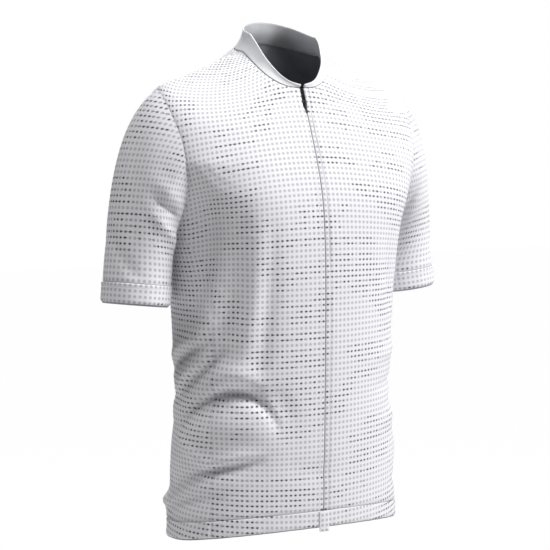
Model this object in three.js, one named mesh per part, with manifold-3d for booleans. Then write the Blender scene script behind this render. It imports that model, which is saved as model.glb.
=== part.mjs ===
// A short-sleeved cycling jersey, filled out as it is worn. Millimetres, +Z up, front towards -Y,
// the wearer's right towards -X. The origin is on the centre plane, level with the high shoulder points.
//
// The body is one surface through the sections below. An angle runs round it from the centre front,
// negative on the wearer's right, and a distance runs up it from the hem to the neck seam. The fronts,
// the back, the hem bands, the zip tapes and the pocket panel are walls on stretches of that surface.
// Each sleeve runs from its armhole to its cuff along one curve for each point of the armhole.

import * as THREE from "three";
import { mergeVertices } from "three/addons/utils/BufferGeometryUtils.js";
import Module from "manifold-3d";

const wasm = await Module();
wasm.setup();

// ---------- driving dimensions ----------
const CLOTH = 1.2; // single jersey knit, with the set of the fabric
const DOUBLE_CLOTH = 2.0; // folded bands: collar, cuffs and hem
const SEAM_GAP = 0.3; // between two pieces that are sewn together
const CUFF_DEPTH = 30;
const CUFF_RADIUS = 48.5;
const CUFF_CENTRES = [
  { side: -1, x: -236, y: 19, z: -367.5 },
  { side: 1, x: 233.5, y: 17.5, z: -366 },
]; // the middle of each cuff's lower edge
const ARM_TILT = THREE.MathUtils.degToRad(7); // the sleeve leans out from the vertical
const ARM_SWING = 0.06; // and comes forward a little on its way down
const CUFF_FLARE = 0.02; // how much a cuff widens for each millimetre up the arm
const SLIDER_Z = -79; // the height of the slider's middle: the zip is open a little way down from the neck
const TAPE_WIDTH = 12;
const TAPE_THICKNESS = 0.8;
const UP = new THREE.Vector3(0, 0, 1);
const RIGHT = -1;
const LEFT = 1;
const degrees = THREE.MathUtils.degToRad;

// The body's sections, from the hem up. sideZ, frontZ and backZ are the heights of one section at its
// side, centre front and centre back: towards the neck the front of a section lies lower than its side.
// fall says how late it leaves the side's height, and lean how much lower it hangs on the left.
const SECTIONS = [
  { name: "hem", sideZ: -719.5, halfWidth: 187.5, midY: 0, frontY: -113.5, backY: 125, frontZ: -694, backZ: -746, square: 2.2, fall: 1.2, lean: 7 },
  { name: "hemSeam", sideZ: -693.5, halfWidth: 185, midY: 0, frontY: -113.5, backY: 124.5, frontZ: -669, backZ: -719.5, square: 2.2, fall: 1.2, lean: 7 },
  { name: "hip", sideZ: -621.5, halfWidth: 180.5, midY: 1, frontY: -115, backY: 123, frontZ: -608.5, backZ: -634.5, square: 2.2, fall: 1.4, lean: 4 },
  { name: "waist", sideZ: -502.5, halfWidth: 174, midY: 3, frontY: -116.5, backY: 118.5, frontZ: -500, backZ: -507.5, square: 2.2, fall: 2, lean: 0 },
  { name: "ribs", sideZ: -390.5, halfWidth: 174.5, midY: 4, frontY: -117, backY: 120, frontZ: -392.5, backZ: -388.5, square: 2.3, fall: 2, lean: 0 },
  { name: "chest", sideZ: -309.5, halfWidth: 180.5, midY: 4, frontY: -116.5, backY: 122.5, frontZ: -318, backZ: -301.5, square: 2.4, fall: 2, lean: 0 },
  { name: "underarm", sideZ: -257.5, halfWidth: 188, midY: 4, frontY: -114.5, backY: 122, frontZ: -269.5, backZ: -249.5, square: 2.6, fall: 2, lean: 0 },
  { name: "armhole", sideZ: -189.5, halfWidth: 204.5, midY: 4, frontY: -108, backY: 121.5, frontZ: -214.5, backZ: -189.5, square: 3, fall: 1.8, lean: 0 },
  { name: "chestTop", sideZ: -115, halfWidth: 212.5, midY: 4, frontY: -93.5, backY: 117.5, frontZ: -164.5, backZ: -142, square: 3, fall: 1.6, lean: 0 },
  { name: "shoulder", sideZ: -62, halfWidth: 205, midY: 6, frontY: -79.5, backY: 108, frontZ: -128, backZ: -102.5, square: 2.6, fall: 1.4, lean: 0 },
  { name: "slopeLow", sideZ: -40.5, halfWidth: 156.5, midY: 10, frontY: -69.5, backY: 98, frontZ: -104.5, backZ: -59, square: 2.5, fall: 1.4, lean: 0 },
  { name: "slopeHigh", sideZ: -20, halfWidth: 105, midY: 12, frontY: -58.5, backY: 87, frontZ: -81, backZ: -20, square: 2.4, fall: 1.4, lean: 0 },
  { name: "neck", sideZ: -2.5, halfWidth: 65, midY: 15, frontY: -49.5, backY: 77, frontZ: -57, backZ: 14.5, square: 2.5, fall: 1.4, lean: 0 },
];

// The collar's upper edge. It closes to nothing at the centre front.
const RIM = { sideZ: 28, halfWidth: 57, midY: 5, frontY: -52.5, backY: 69, frontZ: -53.5, backZ: 46.5, square: 2.3, fall: 1.4, lean: 0 };
const COLLAR_LEAST = 2.5; // the collar's height at the zip

// The largest folds: a trough or ridge along a bowed line on the body, from one place over another to
// a third, each place an angle in degrees round from the centre front and a height.
const FOLDS = [
  { name: "arch at the right waist", from: [-100, -555], over: [-40, -439], to: [-25, -531], width: 17, depth: -6 },
  { name: "roll under the arch", from: [-92, -595], over: [-58, -493], to: [-34, -570], width: 20, depth: 4.5 },
  { name: "tuck above the right hem", from: [-104, -658], over: [-84, -598], to: [-48, -598], width: 15, depth: -5 },
  { name: "pinch behind the right waist", from: [-138, -505], over: [-110, -492], to: [-88, -513], width: 14, depth: -5 },
  { name: "overhang above the right hem", from: [-94, -670], over: [-114, -687], to: [-140, -674], width: 15, depth: 7 },
  { name: "tuck at the left waist", from: [108, -564], over: [80, -508], to: [58, -534], width: 19, depth: -4.5 },
  { name: "roll at the left hip", from: [104, -626], over: [84, -590], to: [60, -606], width: 22, depth: 4 },
];

// ---------- interpolation through the sections ----------
// A smooth cubic through the points (xs, ys), straight beyond both ends.
function smoothThrough(xs, ys) {
  const last = xs.length - 1;
  const steps = xs.slice(1).map((x, i) => x - xs[i]);
  const slopes = steps.map((step, i) => (ys[i + 1] - ys[i]) / step);
  const tangents = xs.map((_, i) => {
    if (i === 0) return slopes[0];
    if (i === last) return slopes[last - 1];
    return (slopes[i - 1] * steps[i] + slopes[i] * steps[i - 1]) / (steps[i - 1] + steps[i]);
  });
  return (x) => {
    if (x <= xs[0]) return ys[0] + (x - xs[0]) * tangents[0];
    if (x >= xs[last]) return ys[last] + (x - xs[last]) * tangents[last];
    const i = xs.findIndex((_, k) => x < xs[k + 1]);
    const u = (x - xs[i]) / steps[i];
    const rise = ys[i + 1] - ys[i];
    const curve = (1 - u) * ((1 - u) * u * tangents[i]) - u * u * (1 - u) * tangents[i + 1];
    return ys[i] + rise * (3 - 2 * u) * u * u + steps[i] * curve;
  };
}

// Each section's distance from the hem, measured up the side and along the shoulder.
const distances = SECTIONS.map(() => 0);
for (let i = 1; i < SECTIONS.length; i++) {
  const across = SECTIONS[i].halfWidth - SECTIONS[i - 1].halfWidth;
  const up = SECTIONS[i].sideZ - SECTIONS[i - 1].sideZ;
  distances[i] = distances[i - 1] + Math.hypot(across, up);
}
const at = Object.fromEntries(SECTIONS.map((section, i) => [section.name, distances[i]]));
const COLUMNS = Object.keys(SECTIONS[0]).filter((key) => key !== "name");
const columnAt = Object.fromEntries(
  COLUMNS.map((key) => [key, smoothThrough(distances, SECTIONS.map((section) => section[key]))]),
);
const sectionAt = (distance) => Object.fromEntries(COLUMNS.map((key) => [key, columnAt[key](distance)]));

// ---------- the body's surface ----------
function ringPoint(ring, angle) {
  const inFront = Math.cos(angle) >= 0;
  const depth = inFront ? ring.midY - ring.frontY : ring.backY - ring.midY;
  const share = Math.abs(Math.cos(angle)) / depth;
  const across = Math.abs(Math.sin(angle)) / ring.halfWidth;
  const reach = (share ** ring.square + across ** ring.square) ** (-1 / ring.square);
  const rise = (inFront ? ring.frontZ : ring.backZ) - ring.sideZ;
  return new THREE.Vector3(
    reach * Math.sin(angle),
    ring.midY - reach * Math.cos(angle),
    ring.sideZ + rise * (share * reach) ** ring.fall - (ring.lean * reach * Math.sin(angle)) / ring.halfWidth,
  );
}

const smoothBody = (angle, distance) => ringPoint(sectionAt(distance), angle);

// The outward normal of a surface given as a function of two values, by small differences.
function normalOf(surface, u, v, du, dv) {
  const along = surface(u + du, v).sub(surface(u - du, v));
  const up = surface(u, v + dv).sub(surface(u, v - dv));
  return along.cross(up).normalize();
}

const bodyNormal = (angle, distance) => normalOf(smoothBody, angle, distance, 0.01, 1);

// How far the folds lift the cloth where the body's surface has this angle and height.
const FOLD_GIRTH = 150; // millimetres round the body for each radian, as the folds are measured
function foldLift(angle, height) {
  let lift = 0;
  for (const fold of FOLDS) {
    const [from, over, to] = [fold.from, fold.over, fold.to].map(([a, z]) => [degrees(a) * FOLD_GIRTH, z]);
    let nearest = Infinity;
    let along = 0;
    for (let i = 0; i <= 24; i++) {
      const t = i / 24;
      const [p, q, r] = [(1 - t) ** 2, 2 * t * (1 - t), t * t];
      const x = p * from[0] + q * over[0] + r * to[0];
      const z = p * from[1] + q * over[1] + r * to[1];
      const gap = Math.hypot(x - angle * FOLD_GIRTH, z - height);
      if (gap < nearest) [nearest, along] = [gap, t];
    }
    lift += fold.depth * Math.exp(-((nearest / fold.width) ** 2)) * Math.sin(Math.PI * (0.08 + 0.84 * along));
  }
  return lift;
}

function bodyPoint(angle, distance, lift = 0) {
  const point = smoothBody(angle, distance);
  return point.addScaledVector(bodyNormal(angle, distance), lift + foldLift(angle, point.z));
}

// The angle that spans this many millimetres along a section.
function angleFor(millimetres, angle, distance) {
  const step = smoothBody(angle + 0.01, distance).distanceTo(smoothBody(angle - 0.01, distance));
  return (millimetres * 0.02) / step;
}

// ---------- where the body's panels end ----------
// The armhole's front or back edge at a distance between the underarm and the shoulder point.
const ARMHOLE_FRONT = degrees(20);
const ARMHOLE_BACK = degrees(20);
function armholeAngle(distance, opening) {
  const share = THREE.MathUtils.clamp((distance - at.underarm) / (at.shoulder - at.underarm), 0, 1);
  const skewed = share ** 0.85;
  return degrees(90) - opening * Math.sqrt(Math.max(0, 1 - (2 * skewed - 1) ** 2));
}

// The side seam starts under the arm and swings forward on its way down.
const SEAM_FORWARD = degrees(22);
function sideSeamAngle(distance) {
  const down = THREE.MathUtils.clamp((at.underarm - distance) / 110, 0, 1);
  return degrees(90) - SEAM_FORWARD * (1 - (1 - down) ** 2);
}

function frontEdge(distance) {
  if (distance < at.underarm) return sideSeamAngle(distance);
  return distance > at.shoulder ? degrees(90) : armholeAngle(distance, ARMHOLE_FRONT);
}

function backEdge(distance) {
  if (distance < at.underarm) return sideSeamAngle(distance);
  return distance > at.shoulder ? degrees(90) : Math.PI - armholeAngle(distance, ARMHOLE_BACK);
}

// The distance at which the centre front has a height.
function distanceAtFront(height) {
  let [low, high] = [0, at.neck];
  for (let i = 0; i < 40; i++) {
    const middle = (low + high) / 2;
    if (columnAt.frontZ(middle) < height) low = middle;
    else high = middle;
  }
  return low;
}

// Half the gap between the two fronts: closed below the slider, and open above it.
const ZIP = [
  { name: "hem", distance: 0, half: 0.4 },
  { name: "closed", distance: distanceAtFront(SLIDER_Z - 12), half: 0.4 },
  { name: "sliderFoot", distance: distanceAtFront(SLIDER_Z - 5), half: 3.1 },
  { name: "sliderTop", distance: distanceAtFront(SLIDER_Z + 5), half: 3.2 },
  { name: "neck", distance: at.neck, half: 3.2 },
];
const zipRows = ZIP.slice(1, -1).map((row) => row.distance);
function halfGap(distance) {
  const above = ZIP.findIndex((row) => row.distance >= distance);
  if (above <= 0) return ZIP.at(above).half;
  const share = (distance - ZIP[above - 1].distance) / (ZIP[above].distance - ZIP[above - 1].distance);
  return ZIP[above - 1].half + share * (ZIP[above].half - ZIP[above - 1].half);
}

// ---------- walls ----------
function geometryOf(points, faces) {
  const geometry = new THREE.BufferGeometry();
  geometry.setAttribute("position", new THREE.Float32BufferAttribute(points.flatMap((p) => [p.x, p.y, p.z]), 3));
  let volume = 0;
  for (const [a, b, c] of faces) volume += points[a].dot(points[b].clone().cross(points[c]));
  geometry.setIndex(faces.flatMap(([a, b, c]) => (volume < 0 ? [a, c, b] : [a, b, c])));
  return geometry;
}

// A closed wall between two grids of points. Rows run along the piece; a tube's rows close on themselves.
// Each four-sided facet is split along its shorter diagonal, the same way on both faces.
function wallGeometry(outer, inner, isTube) {
  const rows = outer.length;
  const columns = outer[0].length;
  const points = [...outer.flat(), ...inner.flat()];
  const innerStart = rows * columns;
  const faces = [];
  const quad = (a, b, c, d, otherWay = false) => {
    if (otherWay) faces.push([a, b, d], [b, c, d]);
    else faces.push([a, b, c], [a, c, d]);
  };
  const spans = isTube ? columns : columns - 1;
  for (let i = 0; i < rows; i++) {
    for (let j = 0; j < spans; j++) {
      const a = i * columns + j;
      const b = i * columns + ((j + 1) % columns);
      if (i < rows - 1) {
        const [c, d] = [b + columns, a + columns];
        const otherWay = points[b].distanceTo(points[d]) < points[a].distanceTo(points[c]);
        quad(a, b, c, d, otherWay);
        quad(innerStart + d, innerStart + c, innerStart + b, innerStart + a, !otherWay);
      }
      if (i === 0) quad(innerStart + a, innerStart + b, b, a);
      if (i === rows - 1) quad(a, b, innerStart + b, innerStart + a);
    }
  }
  if (!isTube) {
    for (let i = 0; i < rows - 1; i++) {
      const first = i * columns;
      const last = first + columns - 1;
      quad(first, first + columns, innerStart + first + columns, innerStart + first);
      quad(last + columns, last, innerStart + last, innerStart + last + columns);
    }
  }
  return geometryOf(points, faces);
}

// A wall on the body's surface. edges(distance) gives the angles where a row starts and ends.
function bodyWall({ rows, columns, edges, lift = 0, thickness = CLOTH }) {
  const outer = [];
  const inner = [];
  for (const distance of rows) {
    const [start, end] = edges(distance);
    const angles = Array.from({ length: columns + 1 }, (_, j) => start + ((end - start) * j) / columns);
    outer.push(angles.map((angle) => bodyPoint(angle, distance, lift)));
    inner.push(angles.map((angle) => bodyPoint(angle, distance, lift - thickness)));
  }
  return wallGeometry(outer, inner, false);
}

const spread = (from, to, count) => Array.from({ length: count + 1 }, (_, i) => from + ((to - from) * i) / count);

// Rows between the underarm and the shoulder point, closer together towards both.
const ARMHOLE_SPANS = 9;
const armholeRows = spread(0, Math.PI, ARMHOLE_SPANS).map(
  (turn) => at.underarm + ((1 - Math.cos(turn)) / 2) * (at.shoulder - at.underarm),
);
const byDistance = (a, b) => a - b;
const panelRows = [
  ...spread(at.hemSeam + SEAM_GAP / 2, at.underarm, 13).slice(0, -1),
  ...armholeRows,
  ...spread(at.shoulder, at.neck - SEAM_GAP / 2, 5).slice(1),
];
const frontRows = [...panelRows, ...zipRows].sort(byDistance);

// ---------- materials ----------
const cloth = new THREE.MeshStandardMaterial({ color: 0xe4e5ea, roughness: 0.9, metalness: 0 });
const plainCloth = new THREE.MeshStandardMaterial({ color: 0xf2f2f4, roughness: 0.85, metalness: 0 });
const zipTape = new THREE.MeshStandardMaterial({ color: 0x17181a, roughness: 0.85, metalness: 0 });
const zipMetal = new THREE.MeshStandardMaterial({ color: 0x1b1c1e, roughness: 0.4, metalness: 0.6 });

const jersey = new THREE.Group();
function add(name, geometry, material) {
  const mesh = new THREE.Mesh(geometry, material);
  mesh.name = name;
  jersey.add(mesh);
  return mesh;
}
const sideName = (side) => (side === RIGHT ? "right" : "left");

// ---------- fronts, back and hem ----------
function addFront(side) {
  const edges = (distance) => {
    const centre = angleFor(halfGap(distance), 0, distance);
    const seam = frontEdge(distance) - angleFor(SEAM_GAP / 2, frontEdge(distance), distance);
    return [side * centre, side * seam];
  };
  add(`front_${sideName(side)}`, bodyWall({ rows: frontRows, columns: 11, edges }), cloth);
  const hemEdges = (distance) => {
    const seam = sideSeamAngle(distance);
    return [side * angleFor(0.4, 0, distance), side * (seam - angleFor(SEAM_GAP / 2, seam, distance))];
  };
  const rows = [0, at.hemSeam - SEAM_GAP / 2];
  const band = bodyWall({ rows, columns: 11, edges: hemEdges, lift: 0.6, thickness: DOUBLE_CLOTH });
  add(`hem_front_${sideName(side)}`, band, cloth);
}

const BACK_COLUMNS = 22;
function addBack() {
  const edges = (distance) => {
    const seam = backEdge(distance) + angleFor(SEAM_GAP / 2, backEdge(distance), distance);
    return [seam, 2 * Math.PI - seam];
  };
  add("back", bodyWall({ rows: panelRows, columns: BACK_COLUMNS, edges }), cloth);
  const hemEdges = (distance) => {
    const seam = sideSeamAngle(distance) + angleFor(SEAM_GAP / 2, sideSeamAngle(distance), distance);
    return [seam, 2 * Math.PI - seam];
  };
  const rows = [0, at.hemSeam - SEAM_GAP / 2];
  add("hem_back", bodyWall({ rows, columns: BACK_COLUMNS, edges: hemEdges, lift: 0.6, thickness: DOUBLE_CLOTH }), cloth);
}

// One panel sewn on the back at its sides and foot, which two rows of stitches part into three pockets.
// Its points lie over the back's own, so it keeps the same distance from it all over.
const POCKET_INSET = 5; // the back's columns left bare on each side
const POCKET_HEIGHT = 175;
function addPockets() {
  const rows = panelRows.filter((distance) => distance < at.hemSeam + POCKET_HEIGHT);
  rows[0] += 1;
  const edges = (distance) => {
    const seam = backEdge(distance) + angleFor(SEAM_GAP / 2, backEdge(distance), distance);
    const column = (2 * Math.PI - 2 * seam) / BACK_COLUMNS;
    return [seam + POCKET_INSET * column, 2 * Math.PI - seam - POCKET_INSET * column];
  };
  const columns = BACK_COLUMNS - 2 * POCKET_INSET;
  add("pocket_panel", bodyWall({ rows, columns, edges, lift: SEAM_GAP + CLOTH }), cloth);
}

// ---------- sleeves ----------
// Which way a sleeve leaves its armhole at the top, front, underarm and back.
const LEAVING = [
  { at: "top", share: (turn) => Math.max(0, Math.cos(turn)) ** 2, out: 0.88, forward: 0, down: 0.48 },
  { at: "front", share: (turn) => Math.max(0, Math.sin(turn)) ** 2, out: 0.66, forward: 0.24, down: 0.72 },
  { at: "underarm", share: (turn) => Math.max(0, -Math.cos(turn)) ** 2, out: 0.42, forward: 0, down: 0.91 },
  { at: "back", share: (turn) => Math.max(0, -Math.sin(turn)) ** 2, out: 0.55, forward: -0.3, down: 0.78 },
];
const SLEEVE_PULL = 0.9; // how strongly a sleeve's line holds its direction at both ends

function leavingDirection(turn, side) {
  const direction = new THREE.Vector3();
  for (const way of LEAVING) {
    direction.addScaledVector(new THREE.Vector3(side * way.out, -way.forward, -way.down), way.share(turn));
  }
  return direction.normalize();
}

function armAxis(side) {
  return new THREE.Vector3(side * Math.sin(ARM_TILT), -ARM_SWING, -Math.cos(ARM_TILT)).normalize();
}

// A point on the sleeve's end, up the arm from the cuff's lower edge. Turn 0 is outermost, a quarter is the front.
function cuffPoint(turn, upArm, side, lift = 0) {
  const outward = new THREE.Vector3(side * Math.cos(ARM_TILT), 0, Math.sin(ARM_TILT));
  const forward = armAxis(side).cross(outward).multiplyScalar(side);
  const radius = CUFF_RADIUS + lift + upArm * CUFF_FLARE;
  const centre = CUFF_CENTRES.find((entry) => entry.side === side);
  return new THREE.Vector3(centre.x, centre.y, centre.z)
    .addScaledVector(armAxis(side), -upArm)
    .addScaledVector(outward, radius * Math.cos(turn))
    .addScaledVector(forward, radius * Math.sin(turn));
}

// The armhole's points in order from the shoulder point down the front, under the arm and up the back,
// each with the share of the way round, so that the sleeve's points match the panels' edge points.
function armholeLoop(side) {
  const down = [...armholeRows].reverse();
  const middle = bodyPoint(side * degrees(90), (at.underarm + at.shoulder) / 2);
  const place = (angle, distance) => {
    const point = bodyPoint(side * angle, distance);
    const outward = bodyNormal(side * angle, distance);
    const inwards = middle.clone().sub(point);
    inwards.addScaledVector(outward, -inwards.dot(outward)).normalize();
    return { point, outward, inwards };
  };
  const front = down.map((distance) => place(armholeAngle(distance, ARMHOLE_FRONT), distance));
  const back = armholeRows.map((distance) => place(Math.PI - armholeAngle(distance, ARMHOLE_BACK), distance));
  const withTurns = (line, start) => {
    const lengths = line.map(() => 0);
    for (let i = 1; i < line.length; i++) lengths[i] = lengths[i - 1] + line[i].point.distanceTo(line[i - 1].point);
    return line.map((entry, i) => ({ ...entry, turn: start + (Math.PI * lengths[i]) / lengths.at(-1) }));
  };
  return [...withTurns(front, 0).slice(0, -1), ...withTurns(back, Math.PI).slice(0, -1)];
}

// Where a sleeve's line starts: beside the panel's edge, on the plane that halves the corner between them.
const LONGEST_MITRE = 1.8;
function sleeveStart({ point, outward, inwards, turn }, side) {
  const leave = leavingDirection(turn, side);
  const apart = inwards.clone().add(leave).normalize();
  const mitre = outward.clone().addScaledVector(apart, -outward.dot(apart)).normalize();
  const outer = point.clone().addScaledVector(apart, 1.5 * SEAM_GAP);
  const deep = CLOTH * Math.min(LONGEST_MITRE, 1 / Math.max(0.01, mitre.dot(outward)));
  return { leave, outer, inner: outer.clone().addScaledVector(mitre, -deep) };
}

const SLEEVE_SPANS = 10;
function addSleeve(side) {
  const loop = armholeLoop(side);
  const starts = loop.map((entry) => sleeveStart(entry, side));
  const ends = loop.map(({ turn }) => cuffPoint(turn, CUFF_DEPTH + SEAM_GAP / 2, side));
  const lineAt = (j, share) => {
    const { leave, outer } = starts[j];
    const pull = SLEEVE_PULL * outer.distanceTo(ends[j]);
    const [u, v] = [share, 1 - share];
    return outer
      .clone()
      .multiplyScalar((1 + 2 * u) * v * v)
      .addScaledVector(leave, pull * u * v * v)
      .addScaledVector(ends[j], (1 + 2 * v) * u * u)
      .addScaledVector(armAxis(side), -pull * v * u * u);
  };
  const outer = spread(0, 1, SLEEVE_SPANS).map((share) => loop.map((_, j) => lineAt(j, share)));
  const inner = outer.map((row, i) =>
    row.map((point, j) => {
      if (i === 0) return starts[j].inner;
      const next = row[(j + 1) % row.length];
      const before = row[(j + row.length - 1) % row.length];
      const further = outer[Math.min(i + 1, SLEEVE_SPANS)][j];
      const normal = next.clone().sub(before).cross(further.clone().sub(outer[i - 1][j])).normalize();
      return point.clone().addScaledVector(normal, side * CLOTH);
    }),
  );
  add(`sleeve_${sideName(side)}`, wallGeometry(outer, inner, true), cloth);

  const turns = spread(0, 2 * Math.PI, 28).slice(0, -1);
  const heights = [0, CUFF_DEPTH - SEAM_GAP / 2];
  const bandRow = (lift) => heights.map((height) => turns.map((turn) => cuffPoint(turn, height, side, lift)));
  add(`cuff_${sideName(side)}`, wallGeometry(bandRow(0.8), bandRow(0.8 - DOUBLE_CLOTH), true), cloth);
}

// ---------- collar ----------
function addCollar() {
  const neck = sectionAt(at.neck);
  const columns = 36;
  const start = angleFor(halfGap(at.neck), 0, at.neck) + degrees(0.5);
  const surface = (angle, share) => {
    const low = ringPoint(neck, angle);
    const high = ringPoint(RIM, angle);
    if (high.z < low.z + COLLAR_LEAST) high.z = low.z + COLLAR_LEAST;
    const seam = low.clone().addScaledVector(UP, SEAM_GAP);
    const bow = 3 * Math.sin(Math.PI * share) * Math.min(1, (high.z - low.z) / 25);
    const towards = new THREE.Vector3(-Math.sin(angle), Math.cos(angle), 0);
    return seam.lerp(high, share).addScaledVector(towards, bow);
  };
  const angles = spread(start, 2 * Math.PI - start, columns);
  const shares = spread(0, 1, 4);
  const outer = shares.map((share) => angles.map((angle) => surface(angle, share)));
  const inner = outer.map((row, i) =>
    row.map((point, j) => {
      const normal = normalOf(surface, angles[j], THREE.MathUtils.clamp(shares[i], 0.05, 0.95), 0.02, 0.05);
      return point.clone().addScaledVector(normal, -DOUBLE_CLOTH);
    }),
  );
  add("collar", wallGeometry(outer, inner, false), plainCloth);
}

// ---------- zip ----------
function addTape(side) {
  const rows = [2, at.hemSeam - 2, ...frontRows.slice(1)];
  const lift = -(CLOTH + SEAM_GAP);
  const edges = (distance) => {
    const inner = Math.max(0.2, halfGap(distance) - 2.2);
    const perMillimetre = angleFor(1, 0, distance);
    return [side * inner * perMillimetre, side * (inner + TAPE_WIDTH) * perMillimetre];
  };
  const hemRoom = DOUBLE_CLOTH - 0.6 + SEAM_GAP; // the folded hem is thicker than the front
  const outer = [];
  const inner = [];
  for (const distance of rows) {
    const [start, end] = edges(distance);
    const low = distance < at.hemSeam + 6 ? -hemRoom : lift;
    outer.push(spread(start, end, 2).map((angle) => bodyPoint(angle, distance, low)));
    inner.push(spread(start, end, 2).map((angle) => bodyPoint(angle, distance, low - TAPE_THICKNESS)));
  }
  add(`zip_tape_${sideName(side)}`, wallGeometry(outer, inner, false), zipTape);
}

// The small folded tab that closes the zip's lower end, over both hem bands.
function addHemTab() {
  const rows = [-6, 8, at.hemSeam];
  const halfWidth = 8.5;
  const edges = (distance) => [-angleFor(halfWidth, 0, distance), angleFor(halfWidth, 0, distance)];
  const lift = 0.6 + SEAM_GAP + 1.6;
  add("hem_tab", bodyWall({ rows, columns: 2, edges, lift, thickness: 1.6 }), cloth);
}

function solidOf(geometry) {
  const bare = geometry.index ? geometry.toNonIndexed() : geometry.clone();
  bare.deleteAttribute("normal");
  bare.deleteAttribute("uv");
  const merged = mergeVertices(bare, 1e-4);
  const vertProperties = merged.attributes.position.array;
  const triVerts = new Uint32Array(merged.index.array);
  return new wasm.Manifold(new wasm.Mesh({ numProp: 3, vertProperties, triVerts }));
}

function geometryFrom(solid) {
  const mesh = solid.getMesh();
  const geometry = new THREE.BufferGeometry();
  geometry.setAttribute("position", new THREE.BufferAttribute(mesh.vertProperties, 3));
  geometry.setIndex(new THREE.BufferAttribute(mesh.triVerts, 1));
  return geometry;
}

// The slider and its pull, in a frame that lies on the cloth: x across, y up the zip, z outwards.
const SLIDER = { halfWidth: 2.7, length: 8.6, plate: 1.2, lift: 0.4 };
const CROWN = { halfWidth: 0.7, room: 2, thickness: 0.8, halfLength: 2.5 };
const PULL = { thickness: 1, eyeHalfWidth: 2, eyeRoom: 3, length: 17, neckHalfWidth: 0.8, endHalfWidth: 1.9 };

function sliderFrame() {
  const middle = distanceAtFront(SLIDER_Z);
  const outward = bodyNormal(0, middle);
  const across = new THREE.Vector3(1, 0, 0);
  const up = outward.clone().cross(across).normalize();
  const group = new THREE.Group();
  group.position.copy(bodyPoint(0, middle)).addScaledVector(outward, SLIDER.lift);
  group.quaternion.setFromRotationMatrix(new THREE.Matrix4().makeBasis(across, up, outward));
  jersey.add(group);
  return group;
}

function sliderGeometry() {
  const half = SLIDER.length / 2;
  const plate = new THREE.Shape();
  plate.moveTo(-SLIDER.halfWidth, half);
  plate.lineTo(-SLIDER.halfWidth, -half * 0.4);
  plate.quadraticCurveTo(-SLIDER.halfWidth * 0.7, -half, 0, -half);
  plate.quadraticCurveTo(SLIDER.halfWidth * 0.7, -half, SLIDER.halfWidth, -half * 0.4);
  plate.lineTo(SLIDER.halfWidth, half);
  plate.quadraticCurveTo(0, half * 0.7, -SLIDER.halfWidth, half);
  const plateBody = new THREE.ExtrudeGeometry(plate, { depth: SLIDER.plate, bevelEnabled: false, curveSegments: 6 });
  plateBody.translate(0, 0, -SLIDER.plate);
  // The crown is an arch along the zip, which the pull's eye hangs on.
  const arch = new THREE.Shape();
  const [reach, room, top] = [CROWN.halfLength, CROWN.room, CROWN.room + CROWN.thickness];
  arch.moveTo(-reach, -0.5);
  arch.lineTo(reach, -0.5);
  arch.lineTo(reach, top - 0.9);
  arch.quadraticCurveTo(reach, top, reach - 0.9, top);
  arch.lineTo(-reach + 0.9, top);
  arch.quadraticCurveTo(-reach, top, -reach, top - 0.9);
  arch.closePath();
  const opening = new THREE.Path();
  const side = reach - CROWN.thickness;
  opening.moveTo(-side, 0);
  opening.lineTo(-side, room);
  opening.lineTo(side, room);
  opening.lineTo(side, 0);
  opening.closePath();
  arch.holes.push(opening);
  const width = CROWN.halfWidth * 2;
  const crown = new THREE.ExtrudeGeometry(arch, { depth: width, bevelEnabled: false, curveSegments: 4 });
  crown.translate(0, 0, -CROWN.halfWidth);
  const toZip = new THREE.Matrix4().makeBasis(
    new THREE.Vector3(0, 1, 0),
    new THREE.Vector3(0, 0, 1),
    new THREE.Vector3(1, 0, 0),
  );
  crown.applyMatrix4(toZip);
  return geometryFrom(solidOf(plateBody).add(solidOf(crown)));
}

// A flat pull: an eye round the crown, a narrow neck and a drop-shaped end.
function pullGeometry() {
  const { eyeHalfWidth, eyeRoom, length, neckHalfWidth, endHalfWidth, thickness } = PULL;
  const bar = thickness / 2;
  const neckTop = -bar - eyeRoom - 1;
  const outline = new THREE.Shape();
  outline.moveTo(-eyeHalfWidth, bar);
  outline.lineTo(-eyeHalfWidth, -bar - eyeRoom + 0.4);
  outline.quadraticCurveTo(-eyeHalfWidth, neckTop, -neckHalfWidth, neckTop - 1);
  outline.lineTo(-neckHalfWidth, -length + 6);
  outline.bezierCurveTo(-endHalfWidth, -length + 4, -endHalfWidth - 0.4, -length, 0, -length);
  outline.bezierCurveTo(endHalfWidth + 0.4, -length, endHalfWidth, -length + 4, neckHalfWidth, -length + 6);
  outline.lineTo(neckHalfWidth, neckTop - 1);
  outline.quadraticCurveTo(eyeHalfWidth, neckTop, eyeHalfWidth, -bar - eyeRoom + 0.4);
  outline.lineTo(eyeHalfWidth, bar);
  outline.closePath();
  const eye = new THREE.Path();
  const inside = eyeHalfWidth - 1;
  eye.moveTo(-inside, -bar);
  eye.lineTo(inside, -bar);
  eye.lineTo(inside, -bar - eyeRoom);
  eye.lineTo(-inside, -bar - eyeRoom);
  eye.closePath();
  outline.holes.push(eye);
  const pull = new THREE.ExtrudeGeometry(outline, { depth: thickness, bevelEnabled: false, curveSegments: 6 });
  pull.translate(0, 0, -bar);
  return pull;
}

function addSlider() {
  const frame = sliderFrame();
  const slider = add("zip_slider", sliderGeometry(), zipMetal);
  const pull = add("zip_pull", pullGeometry(), zipMetal);
  pull.position.set(0, 0, CROWN.room / 2);
  frame.add(slider, pull);
}

addFront(RIGHT);
addFront(LEFT);
addBack();
addPockets();
addSleeve(RIGHT);
addSleeve(LEFT);
addCollar();
addTape(RIGHT);
addTape(LEFT);
addHemTab();
addSlider();

export default jersey;
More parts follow.
